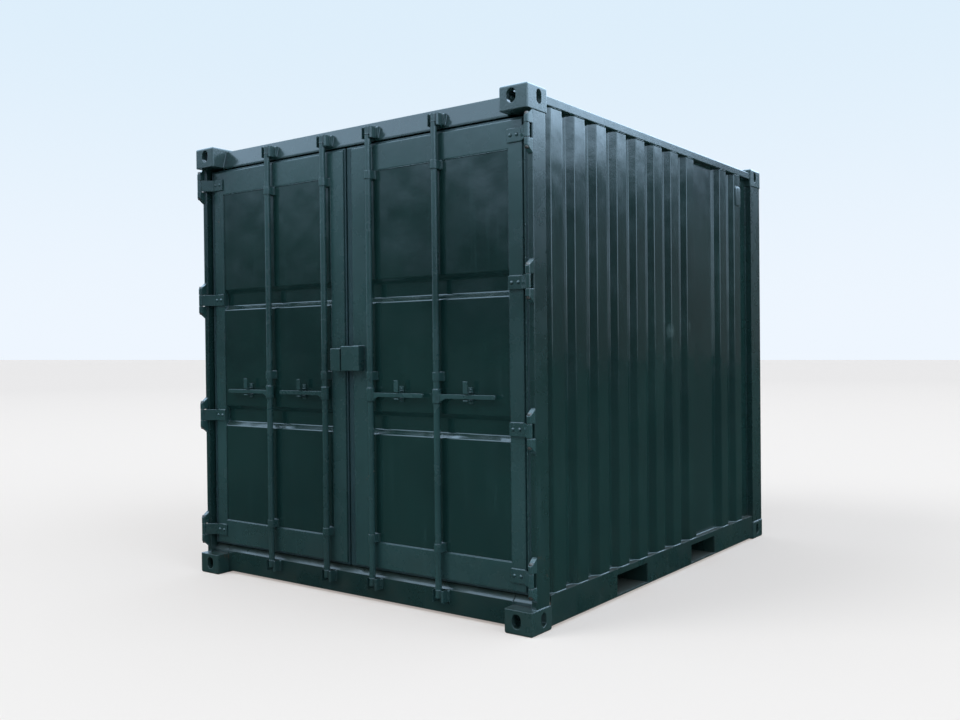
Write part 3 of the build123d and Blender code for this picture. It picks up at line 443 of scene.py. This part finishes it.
def wood(name):
    """Worn plywood boards that run along the floor, scratched and dirty."""
    material, t, where = new_material(name)
    board = t.math("FLOOR", t.math("DIVIDE", t.part(where, "X"), TONE_WIDTH))
    seed = t.add("ShaderNodeCombineXYZ", {0: board, 1: board, 2: board}).outputs[0]
    tone = t.add("ShaderNodeTexWhiteNoise", {"Vector": seed}).outputs["Value"]
    shifted = t.vector("ADD", where, seed)
    grain = t.noise(t.stretch(shifted, (34, 1.6, 34)), 2.6, 9, 0.62, 1.2)
    colour = t.mix(grain, rgb(104, 74, 50), rgb(166, 128, 90))
    colour = t.mix(t.math("MULTIPLY", tone, 0.45), colour, rgb(92, 70, 52))
    fine = t.noise(t.stretch(shifted, (260, 6, 260)), 2.0, 4, 0.6)
    colour = t.mix(t.math("MULTIPLY", t.span(fine, 0.52, 0.72), 0.5), colour, rgb(70, 50, 36))
    stain = t.noise(where, 2.2, 7, 0.7)
    colour = t.mix(t.math("MULTIPLY", t.span(stain, 0.48, 0.72), 0.6), colour, rgb(64, 56, 48))
    scratch = t.noise(t.stretch(where, (3, 90, 3)), 2.0, 5, 0.7)
    colour = t.mix(t.math("MULTIPLY", t.span(scratch, 0.66, 0.72), 0.5), colour, rgb(186, 158, 122))
    shader = t.add("ShaderNodeBsdfPrincipled", {
        "Base Color": colour, "Roughness": t.span(stain, 0.3, 0.7, 0.55, 0.85),
        "Normal": t.bump(fine, 0.5, 0.001)})
    t.add("ShaderNodeOutputMaterial", {"Surface": shader.outputs[0]})
    return material


def steel(name):
    """Bare worn steel with turning marks, grease and light rust."""
    material, t, where = new_material(name)
    worn = t.noise(where, 60, 6, 0.65)
    colour = t.mix(t.span(worn, 0.35, 0.7), rgb(86, 84, 82), rgb(138, 134, 128))
    rust = t.span(t.noise(where, 38, 8, 0.75), 0.52, 0.68)
    colour = t.mix(t.math("MULTIPLY", rust, 0.8), colour, rgb(96, 60, 38))
    rings = t.noise(t.stretch(where, (4, 4, 600)), 1.0, 2, 0.5)
    roughness = t.math("ADD", t.span(worn, 0.3, 0.7, 0.28, 0.5), t.math("MULTIPLY", rust, 0.35))
    shader = t.add("ShaderNodeBsdfPrincipled", {
        "Base Color": colour, "Roughness": roughness, "Normal": t.bump(rings, 0.3, 0.0004),
        "Metallic": 0.85})
    t.add("ShaderNodeOutputMaterial", {"Surface": shader.outputs[0]})
    return material


panel_paint = paint("panel_paint", GREEN, DEEP, rough=0.15, dents=0.010, edges=False)
wall_paint = paint("wall_paint", GREEN, DEEP, rough=0.15, dents=0.005, highlight_spots=WALL_HIGHLIGHTS, edges=False)
frame_paint = paint("frame_paint", GREEN, DEEP, rough=0.26, peel=0.09, rust=0.35, soil=0.9)
casting_paint = paint(
    "casting_paint", rgb(36, 62, 62), rgb(28, 54, 54), rough=0.27, peel=0.30, rust=0.5)
# The gear's paint is the body's green made lighter: painted sheen of the sky on the bars and the other
# gear
gear_paint_with_sheen = paint("gear_paint_with_sheen", rgb(42, 72, 74), rgb(30, 56, 57), rough=0.24, peel=0.1, rust=0.3)
weld_paint = paint("weld_paint", rgb(26, 55, 56), DEEP, rough=0.30, peel=0.2, rust=0.4, edges=False)
seal_paint = paint("seal_paint", rgb(34, 62, 66), rgb(26, 50, 54), rough=0.42, coat=0.25, peel=0.12)
floor_wood = wood("floor_wood")
bare_steel = steel("bare_steel")


def material_of(name):
    """The material of a node of the part."""
    if "casting" in name:
        return casting_paint
    if "gasket" in name:
        return seal_paint
    if name == "floor_boards":
        return floor_wood
    if name == "hinge_pins":
        return bare_steel
    if "wall" in name:
        return wall_paint
    if "panel" in name:
        return panel_paint
    if name.startswith(("left", "right", "hinge")) or "keepers" in name:
        return gear_paint_with_sheen
    return frame_paint


for name in nodes:
    data = nodes[name].data
    data.materials.clear()
    data.materials.append(material_of(name))


# Pieces made in mesh code. Their points are in millimetres, in the part's frame.
class Piece:
    def __init__(self, name):
        self.name = name
        self.points = []
        self.faces = []

    def loft(self, rings, closed=False):
        """Joins rings that have the same number of points, with a cap at each open end."""
        count = len(rings[0])
        start = len(self.points)
        for ring in rings:
            self.points += [tuple(point) for point in ring]
        pairs = [(n, n + 1) for n in range(len(rings) - 1)]
        if closed:
            pairs.append((len(rings) - 1, 0))
        for low, high in pairs:
            for n in range(count):
                m = (n + 1) % count
                self.faces.append((
                    start + low * count + n, start + low * count + m,
                    start + high * count + m, start + high * count + n))
        if not closed:
            self.faces.append(tuple(start + n for n in reversed(range(count))))
            self.faces.append(tuple(start + (len(rings) - 1) * count + n for n in range(count)))

    def finish(self, body, slot_name, material):
        mesh = bpy.data.meshes.new(self.name)
        mesh.from_pydata([(x / 1000, y / 1000, z / 1000) for x, y, z in self.points], [], self.faces)
        mesh.validate()
        mesh.polygons.foreach_set("use_smooth", [True] * len(mesh.polygons))
        mesh.set_sharp_from_angle(angle=math.radians(SHARP_ANGLE))
        mesh.materials.append(material)
        piece = bpy.data.objects.new(self.name, mesh)
        bpy.context.scene.collection.objects.link(piece)
        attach(piece, body)


def rounded(points, radius, steps=3, closed=False):
    """A line of straight runs with its corners rounded."""
    points = [Vector(point) for point in points]
    result = [] if closed else [points[0]]
    count = len(points)
    for n in range(0 if closed else 1, count if closed else count - 1):
        before, corner, after = points[n - 1], points[n], points[(n + 1) % count]
        run_in, run_out = before - corner, after - corner
        trim = min(radius, run_in.length * 0.45, run_out.length * 0.45)
        start = corner + run_in.normalized() * trim
        finish = corner + run_out.normalized() * trim
        for step in range(steps + 1):
            share = step / steps
            first = start * (1 - share) + corner * share
            second = corner * (1 - share) + finish * share
            result.append(first * (1 - share) + second * share)
    if not closed:
        result.append(points[-1])
    return result


def spaced(points, step, closed=False):
    """Points at even steps along a line."""
    runs = [(points[n], points[n + 1]) for n in range(len(points) - 1)]
    if closed:
        runs.append((points[-1], points[0]))
    total = sum((b - a).length for a, b in runs)
    count = max(2, round(total / step))
    marks = [total * n / count for n in range(count if closed else count + 1)]
    result, travelled, index = [], 0.0, 0
    for mark in marks:
        while index < len(runs) - 1 and travelled + (runs[index][1] - runs[index][0]).length < mark - 1e-9:
            travelled += (runs[index][1] - runs[index][0]).length
            index += 1
        a, b = runs[index]
        length = (b - a).length
        result.append(a.lerp(b, min(1.0, (mark - travelled) / length)) if length else a)
    return result


def across(direction):
    """Two directions square to a direction."""
    helper = Vector((0, 0, 1)) if abs(direction.z) < 0.9 else Vector((1, 0, 0))
    first = direction.cross(helper).normalized()
    return first, direction.cross(first).normalized()


def circle(centre, first, second, radius, sides):
    """Points round a centre, in the plane of two directions."""
    return [
        centre + (first * math.cos(turn) + second * math.sin(turn)) * radius
        for turn in [k * math.tau / sides for k in range(sides)]]


def weld(piece, points, radius=3.0, step=5.0, closed=False):
    """A weld bead: a rippled tube, half sunk in the corner that it follows."""
    line = spaced([Vector(point) for point in points], step, closed)
    rings = []
    count = len(line)
    for n, place in enumerate(line):
        before = line[n - 1] if n or closed else line[0]
        after = line[(n + 1) % count] if n < count - 1 or closed else line[-1]
        first, second = across((after - before).normalized())
        swell = radius * (1.16 if n % 2 else 0.88) * random.uniform(0.92, 1.08)
        drift = (
            first * random.uniform(-0.12, 0.12) * radius
            + second * random.uniform(-0.12, 0.12) * radius)
        rings.append(circle(place + drift, first, second, swell, WELD_SIDES))
    piece.loft(rings, closed)


def strand(piece, start, finish, radius, sides=8):
    """A plain round strand between two points."""
    start, finish = Vector(start), Vector(finish)
    first, second = across((finish - start).normalized())
    piece.loft([circle(point, first, second, radius, sides) for point in (start, finish)])


def turned(piece, centre, axis, outline, sides=14):
    """A turned shape: outline gives (radius, height) from the base out along the axis."""
    centre, axis = Vector(centre), Vector(axis).normalized()
    first, second = across(axis)
    piece.loft([
        circle(centre + axis * height, first, second, radius, sides) for radius, height in outline])


def rivet(piece, centre, axis, radius):
    """A low round head with a thin paint edge at its foot."""
    turned(piece, centre, axis, [
        (radius * 1.12, -0.6), (radius * 1.10, 0.25), (radius, 0.5), (radius * 0.92, radius * 0.34),
        (radius * 0.66, radius * 0.56), (radius * 0.30, radius * 0.66)])


def strip(piece, corners, thickness, bevel=0.8):
    """A flat strip with eased edges: corners run round its face, and it stands out from them."""
    corners = [Vector(corner) for corner in corners]
    normal = (corners[1] - corners[0]).cross(corners[2] - corners[1]).normalized()

    def inward(amount):
        ring = []
        for n, corner in enumerate(corners):
            to_next = (corners[(n + 1) % len(corners)] - corner).normalized()
            to_last = (corners[n - 1] - corner).normalized()
            ring.append(corner + (to_next + to_last) * amount)
        return ring

    base = inward(0)
    piece.loft([
        [point - normal * 0.4 for point in base],
        [point + normal * (thickness - bevel) for point in base],
        [point + normal * thickness for point in inward(bevel)],
    ])


def wave_line(crests, start, finish, high, low):
    """The line of a corrugated sheet's face: (along, out) points."""
    points = [(start, low)]
    for centre in crests:
        points.append((centre - WAVE_CREST / 2 - WAVE_SLOPE, low))
        points.append((centre - WAVE_CREST / 2, high))
        points.append((centre + WAVE_CREST / 2, high))
        points.append((centre + WAVE_CREST / 2 + WAVE_SLOPE, low))
    points.append((finish, low))
    return points


# Welds of the body
def wall_welds(piece):
    """The walls to the rails and the posts, outside and inside."""
    seams = (FLOOR_TOP + 1, TOP_RAIL_BOTTOM - 1)
    upright = (FLOOR_TOP + 2, TOP_RAIL_BOTTOM - 2)
    back = SHEET + 2 * WELD_OUT
    wall = wave_line(
        [end_y(depth) for depth in SIDE_CRESTS],
        end_y(POST_BACK) + 2, end_y(LENGTH - BLIND_POST_LENGTH) - 2,
        side_x(WALL_INSET) + WELD_OUT, side_x(WALL_INSET + WAVE_DEPTH) + WELD_OUT)
    for side in (-1, 1):
        for level in seams:
            weld(piece, rounded([(side * x, y, level) for y, x in wall], WAVE_BEND, 2), 2.6, 5.5)
            weld(piece, rounded([(side * (x - back), y, level) for y, x in wall], WAVE_BEND, 2), 2.2, 8)
        x = side * (side_x(WALL_INSET + WAVE_DEPTH) + WELD_OUT)
        for y in (end_y(POST_BACK) + 1, end_y(LENGTH - BLIND_POST_LENGTH) - 1):
            weld(piece, [(x, y, level) for level in upright], 2.8)

    reach = side_x(BLIND_POST_REACH)
    low = end_y(LENGTH - WALL_INSET - WAVE_DEPTH) + WELD_OUT
    end = wave_line(END_CRESTS, 2 - reach, reach - 2, end_y(LENGTH - WALL_INSET) + WELD_OUT, low)
    for level in seams:
        weld(piece, rounded([(x, y, level) for x, y in end], WAVE_BEND, 2), 2.6, 5.5)
        weld(piece, rounded([(x, y - back, level) for x, y in end], WAVE_BEND, 2), 2.2, 8)
    for side in (-1, 1):
        weld(piece, [(side * (reach - 1), low, level) for level in upright], 2.8)


def frame_welds(piece):
    """The posts, rails and beams to the castings."""
    post_face, step_face = end_y(POST_FRONT), end_y(POST_STEP)
    outer, leg = side_x(POST_INSET + 2), side_x(POST_INSET + POST_LEG)
    post = [
        (outer, post_face), (leg, post_face), (leg, step_face), (side_x(POST_REACH), step_face),
        (side_x(POST_REACH), end_y(POST_BACK)), (outer, end_y(POST_BACK))]
    blind_outer, blind_face = side_x(BLIND_POST_INSET + 1), end_y(LENGTH - BLIND_POST_INSET - 1)
    blind_post = [
        (blind_outer, blind_face), (side_x(BLIND_POST_REACH), blind_face),
        (side_x(BLIND_POST_REACH), end_y(LENGTH - BLIND_POST_LIP)),
        (side_x(BLIND_POST_LIP), end_y(LENGTH - BLIND_POST_LENGTH)),
        (blind_outer, end_y(LENGTH - BLIND_POST_LENGTH))]
    top_rail = (TOP_RAIL_BOTTOM + 2, ROOF_LEVEL - 2)
    bottom_rail = (GROUND_CLEARANCE + 2, CASTING_Z + 20)
    for side in (-1, 1):
        for level in (CASTING_Z + 1, HEIGHT - CASTING_Z - 1):
            for section in (post, blind_post):
                weld(piece, rounded([(side * x, y, level) for x, y in section], 8, 3, True), 3.2, 5, True)
        inner = side * (side_x(CASTING_X) - 1)
        weld(piece, [
            (inner, end_y(HEADER_FRONT), HEADER_BOTTOM + 2),
            (inner, end_y(HEADER_FRONT) - 1, HEADER_BOTTOM + HEADER_LIP),
            (inner, end_y(HEADER_TOP_FRONT) - 1, HEADER_TOP),
            (inner, end_y(CASTING_Y) - 4, HEADER_TOP)], 3.4)
        weld(piece, [
            (inner, end_y(SILL_FRONT), GROUND_CLEARANCE + 2),
            (inner, end_y(SILL_FRONT), FLOOR_TOP - SILL_BEVEL),
            (inner, end_y(SILL_FRONT + SILL_BEVEL) - 1, CASTING_Z + 30)], 3.4)
        x = side * side_x(RAIL_INSET)
        for y in (end_y(CASTING_Y) + 1, end_y(LENGTH - CASTING_Y) - 1):
            weld(piece, [(x, y, level) for level in top_rail], 3.2)
            weld(piece, [(x, y, level) for level in bottom_rail], 3.2)
        blind = end_y(LENGTH - RAIL_INSET)
        weld(piece, [(inner, blind, level) for level in top_rail], 3.2)
        weld(piece, [(inner, blind, level) for level in bottom_rail], 3.2)


def roof_welds(piece):
    """The roof sheet along its rails and the header."""
    level = ROOF_LEVEL + 1
    front, back = end_y(CASTING_Y), end_y(LENGTH - CASTING_Y)
    for side in (-1, 1):
        x = side * (side_x(RAIL_INSET + ROOF_SETBACK) + 1)
        weld(piece, [(x, front + 4, level), (x, back - 4, level)], 2.8)
    blind = end_y(LENGTH - RAIL_INSET - ROOF_SETBACK) + 1
    reach = side_x(CASTING_X) - 4
    weld(piece, [(-reach, blind, level), (reach, blind, level)], 2.8)
    weld(piece, [(-reach, front + 1, level + 2), (reach, front + 1, level + 2)], 2.8)


def hinge_welds(piece):
    """The hinge lugs on the posts."""
    y = end_y(POST_FRONT)
    near, far = side_x(PIN_INSET) - KNUCKLE_RADIUS, side_x(PIN_INSET) + KNUCKLE_RADIUS
    for side in (-1, 1):
        for level in HINGES:
            for x in (side * near, side * (far - 4)):
                for way in (-1, 1):
                    weld(piece, [
                        (x, y, level + way * (MOUTH / 2 + 3)), (x, y, level + way * (LUG_REACH - 2))], 2.6)
            for way in (-1, 1):
                z = level + way * LUG_REACH
                weld(piece, [(side * (near + 2), y, z), (side * (far - 2), y, z)], 2.6)


def keeper_welds(piece):
    """The keepers of the locking bars on the header and the sill."""
    slope = (HEADER_TOP_FRONT - HEADER_FRONT) / (HEADER_TOP - HEADER_BOTTOM - HEADER_LIP)
    low = HEADER_BOTTOM + KEEPER_RISE
    high = low + KEEPER_HEIGHT
    rise = low - HEADER_BOTTOM - HEADER_LIP
    top = FLOOR_TOP - SILL_BEVEL
    for bar in BARS:
        for side in (-1, 1):
            x = bar + side * (KEEPER_GAP + KEEPER_FOOT)
            weld(piece, [
                (x, end_y(HEADER_FRONT + slope * rise) - 1, low + 2),
                (x, end_y(HEADER_FRONT + slope * (rise + KEEPER_HEIGHT)) - 1, high - 2)], 2.4)
            weld(piece, [
                (x, end_y(SILL_FRONT), top - KEEPER_HEIGHT + 2), (x, end_y(SILL_FRONT), top - 2)], 2.4)


def body_welds():
    piece = Piece("body_welds")
    wall_welds(piece)
    frame_welds(piece)
    roof_welds(piece)
    hinge_welds(piece)
    keeper_welds(piece)
    piece.finish("container", "green_paint", weld_paint)


def pin_heads():
    """Heads of the hinge pins, worn bare, on the sloped tops of the lugs."""
    piece = Piece("hinge_pin_heads")
    lean = (LUG_REACH - LUG_FACE) / (POST_FRONT - PIN_DEPTH + KNUCKLE_RADIUS)
    reach = LUG_FACE + lean * KNUCKLE_RADIUS
    for side in (-1, 1):
        for level in HINGES:
            for way in (-1, 1):
                centre = (side * side_x(PIN_INSET), end_y(PIN_DEPTH), level + way * (reach - 8))
                turned(piece, centre, (0, 0, way), [
                    (10.5, 0), (10.5, 11.5), (9.5, 13.2), (6.0, 14.0)], 18)
    piece.finish("container", "bare_steel", bare_steel)


def ventilator():
    """A low ventilator cover, high on the last crest of the right wall."""
    piece = Piece("wall_ventilator")
    face, y = side_x(WALL_INSET), end_y(SIDE_CRESTS[-1])
    near, far, chamfer = y - VENT_HALF_WIDTH, y + VENT_HALF_WIDTH, 14

    def ring(inset, out):
        x, top = face + out, VENT_TOP - inset
        return [
            (x, near + inset, VENT_BOTTOM + inset), (x, far - inset, VENT_BOTTOM + inset),
            (x, far - inset, top - chamfer), (x, far - inset - chamfer, top),
            (x, near + inset + chamfer, top), (x, near + inset, top - chamfer)]

    piece.loft([ring(0, -1), ring(0, 1.2), ring(6, 1.6), ring(6.6, 7.4), ring(8, 8.6), ring(12, 9)])
    x = face + 8.6
    for number in range(VENT_SLATS):
        z = VENT_BOTTOM + 26 + number * VENT_SLAT_PITCH
        strip(piece, [(x, y - 26, z), (x, y + 26, z), (x, y + 26, z + 6), (x, y - 26, z + 6)], 2.2)
    for way in (-1, 1):
        for z in (VENT_BOTTOM + 3.5, VENT_TOP - 17):
            rivet(piece, (face + 1.2, y + way * (VENT_HALF_WIDTH - 3.5), z), (1, 0, 0), 2.8)
    piece.finish("container", "green_paint", weld_paint)


def sill_ends():
    """The sill's face and floor, carried over the bottom castings to the posts."""
    piece = Piece("sill_end_plates")
    front, slope, step = end_y(SILL_FRONT), end_y(SILL_FRONT + SILL_BEVEL), end_y(POST_STEP)
    top, foot = FLOOR_TOP, CASTING_Z - 1
    face = rounded([
        (0, front, foot), (0, front, top - SILL_BEVEL), (0, slope, top), (0, step - 0.5, top),
        (0, step - 0.5, top - SILL_PLATE), (0, slope + 2, top - SILL_PLATE),
        (0, front + SILL_PLATE, top - SILL_BEVEL - 2), (0, front + SILL_PLATE, foot)], 2.0, 2, True)
    floor = [
        (0, step - 1, top), (0, end_y(CASTING_Y), top),
        (0, end_y(CASTING_Y), top - SILL_PLATE), (0, step - 1, top - SILL_PLATE)]
    leg = side_x(POST_INSET + POST_LEG)
    inner = side_x(CASTING_X) - 2
    for side in (-1, 1):
        for outline, outer in ((face, leg + 0.5), (floor, side_x(POST_REACH) + 0.5)):
            ends = [inner, outer] if side > 0 else [-outer, -inner]
            piece.loft([[(x, y, z) for _, y, z in outline] for x in ends])
        joint = side * side_x(CASTING_X)
        weld(piece, [
            (joint, front, CASTING_Z + 2), (joint, front, top - SILL_BEVEL), (joint, slope, top)], 2.2)
        weld(piece, [(joint, front, CASTING_Z), (side * (leg - 1), front, CASTING_Z)], 2.6)
    piece.finish("container", "green_paint", frame_paint)


def floor_screws():
    """Screws that hold the floor boards to the cross members."""
    piece = Piece("floor_screws")
    half = side_x(RAIL_INSET + BOTTOM_FLANGE + FLOOR_PLAY)
    pitch = 2 * half / BOARD_COUNT
    low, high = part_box("cross_members")
    rows = [low[1] * 1000 + END_LINE_INSET, *MEMBER_LINES, high[1] * 1000 - END_LINE_INSET]
    for y in rows:
        for board in range(BOARD_COUNT):
            for share in BOARD_SCREWS:
                x = -half + pitch * (board + share) + random.uniform(-4, 4)
                place = (x, y + random.uniform(-5, 5), FLOOR_TOP)
                turned(piece, place, (0, 0, 1), [(6.4, -1.5), (6.2, 0.4), (5.2, 0.8), (2.0, 0.5)], 12)
    piece.finish("container", "bare_steel", bare_steel)


# Pieces of each door leaf. Side is 1 for the right leaf and -1 for the left one.
def leaf_edges(side):
    """The inner and outer edges of a leaf's frame, from the middle of the box."""
    lip = 0 if side > 0 else SEAM_GAP + LEFT_SEAM_LIP
    return SEAM_STRIP / 2 + lip, side_x(LEAF_OUTER_INSET)


def leaf_welds(side, name):
    """The panel, the brackets, the lock box and the hinge blades."""
    piece = Piece(f"{name}_door_welds")
    inner, outer = leaf_edges(side)
    window = (inner + INNER_STILE, outer - OUTER_STILE)
    low, high = LEAF_BOTTOM + LEAF_MEMBER, LEAF_TOP - LEAF_MEMBER
    panel, face = end_y(PANEL_FACE), end_y(LEAF_FACE)
    profile = [(low, panel)]
    half = GROOVE_HEIGHT / 2
    for centre in HINGES[1:-1]:
        profile += [
            (centre - half, panel), (centre - half + GROOVE_DEPTH, panel + GROOVE_DEPTH),
            (centre + half - GROOVE_DEPTH, panel + GROOVE_DEPTH), (centre + half, panel)]
    profile.append((high, panel))
    for x in (window[0] + 0.5, window[1] - 0.5):
        weld(piece, rounded([(side * x, y - 1, z) for z, y in profile], GROOVE_BEND, 2), 2.4, 5.5)
    for z in (low + 0.5, high - 0.5):
        weld(piece, [(side * x, panel - 1, z) for x in window], 2.4, 5.5)

    wide, tall = BRACKET_WIDTH / 2, BRACKET_HEIGHT / 2
    for bar in (INNER_BAR, OUTER_BAR):
        x = side * bar
        for level in BRACKET_LEVELS:
            for way in (-1, 1):
                edge, base = x + way * wide, level + way * tall
                weld(piece, [(edge, panel - 1, level - tall), (edge, panel - 1, level + tall)], 2.2)
                weld(piece, [(x - wide, panel - 1, base), (x + wide, panel - 1, base)], 2.0)

    top = LOCK_BOX_TOP if side > 0 else LOCK_BOX_TOP - LOCK_BOX_STEP
    reach = side * LOCK_BOX_REACH
    weld(piece, [
        (side * inner, face - 0.5, top), (reach, face - 0.5, top),
        (reach, face - 0.5, LOCK_BOX_BOTTOM)], 2.6)
    start, end, half = side * side_x(BLADE_START), side * side_x(BLADE_END), KNUCKLE_HEIGHT / 2
    for level in HINGES:
        for z in (level - half, level + half):
            weld(piece, [(start, face - 0.5, z), (end, face - 0.5, z)], 2.4)
        weld(piece, [(end, face - 0.5, level - half), (end, face - 0.5, level + half)], 2.4)
    piece.finish(f"{name}_door", "green_paint", weld_paint)


def leaf_fasteners(side, name):
    """Rivets of the hinge blades and the handle catches."""
    piece = Piece(f"{name}_door_fasteners")
    for level in HINGES:
        for inset in BLADE_RIVETS:
            place = (side * side_x(inset), end_y(LEAF_FACE) - BLADE, level)
            rivet(piece, place, (0, -1, 0), BLADE_RIVET_RADIUS)
    for bar in (INNER_BAR, OUTER_BAR):
        for rise in CATCH_RIVETS:
            place = (side * (bar + CATCH_DISTANCE), end_y(PANEL_FACE) - CATCH_PLATE, HANDLE_LEVEL + rise)
            rivet(piece, place, (0, -1, 0), CATCH_RIVET_RADIUS)
    piece.finish(f"{name}_door", "green_paint", gear_paint_with_sheen)


def leaf_seal(side, name):
    """The round lips along a leaf's seal."""
    piece = Piece(f"{name}_door_seal_lips")
    y = end_y(LEAF_FACE + GASKET_SET_BACK) + 0.6
    bottom, top = LEAF_BOTTOM - GASKET_LIP + 9, LEAF_TOP + GASKET_LIP - 9
    edge = side_x(GASKET_OUTER_INSET)
    lips = [(side * (edge - inset), radius) for inset, radius in SEAL_LIPS]
    if side > 0:
        lips += SEAM_LIPS
    for x, radius in lips:
        strand(piece, (x, y, bottom), (x, y, top), radius)
    piece.finish(f"{name}_door", "seal_rubber", seal_paint)


def leaf_clamps(side, name):
    """The riveted strips that clamp a leaf's seal. The left leaf has none at the seam."""
    piece = Piece(f"{name}_door_seal_clamps")
    inner, outer = leaf_edges(side)
    front = end_y(LEAF_FACE + GASKET_SET_BACK)
    low, high = LEAF_BOTTOM + 4, LEAF_TOP - 4
    spans = [(outer + 2, outer + 2 + CLAMP_WIDTH)]
    if side > 0:
        spans.append((inner - 1 - CLAMP_WIDTH, inner - 1))
    for span in spans:
        left, right = sorted(side * x for x in span)
        strip(piece, [
            (left, front, low), (right, front, low), (right, front, high), (left, front, high)],
            CLAMP_THICKNESS)
        for n in range(CLAMP_RIVETS):
            z = LEAF_BOTTOM + 40 + (LEAF_TOP - LEAF_BOTTOM - 80) * n / (CLAMP_RIVETS - 1)
            place = ((left + right) / 2, front - CLAMP_THICKNESS, z)
            rivet(piece, place, (0, -1, 0), CLAMP_RIVET_RADIUS)
    piece.finish(f"{name}_door", "green_paint", gear_paint_with_sheen)


def bar_welds(name, x):
    """The welds of a locking bar, at its handle's hub and its cams."""
    piece = Piece(f"{name}_bar_welds")
    centre, radius = (x, end_y(BAR_DEPTH)), BAR_RADIUS + 0.5
    for level in (HANDLE_LEVEL - HUB_HEIGHT / 2 - 0.5, HANDLE_LEVEL + HUB_HEIGHT / 2 + 0.5,
                  BAR_BOTTOM + CAM_HEIGHT + 0.5, BAR_TOP - CAM_HEIGHT - 0.5):
        ring = [
            (centre[0] + radius * math.cos(turn), centre[1] + radius * math.sin(turn), level)
            for turn in [k * math.tau / 24 for k in range(24)]]
        weld(piece, ring, 2.3, 4.6, True)
    piece.finish(f"{name}_bar", "green_paint", weld_paint)


body_welds()
pin_heads()
ventilator()
sill_ends()
floor_screws()
for side, name in ((1, "right"), (-1, "left")):
    leaf_welds(side, name)
    leaf_fasteners(side, name)
    leaf_seal(side, name)
    leaf_clamps(side, name)
for name, x in zip(BAR_NAMES, BARS):
    bar_welds(name, x)
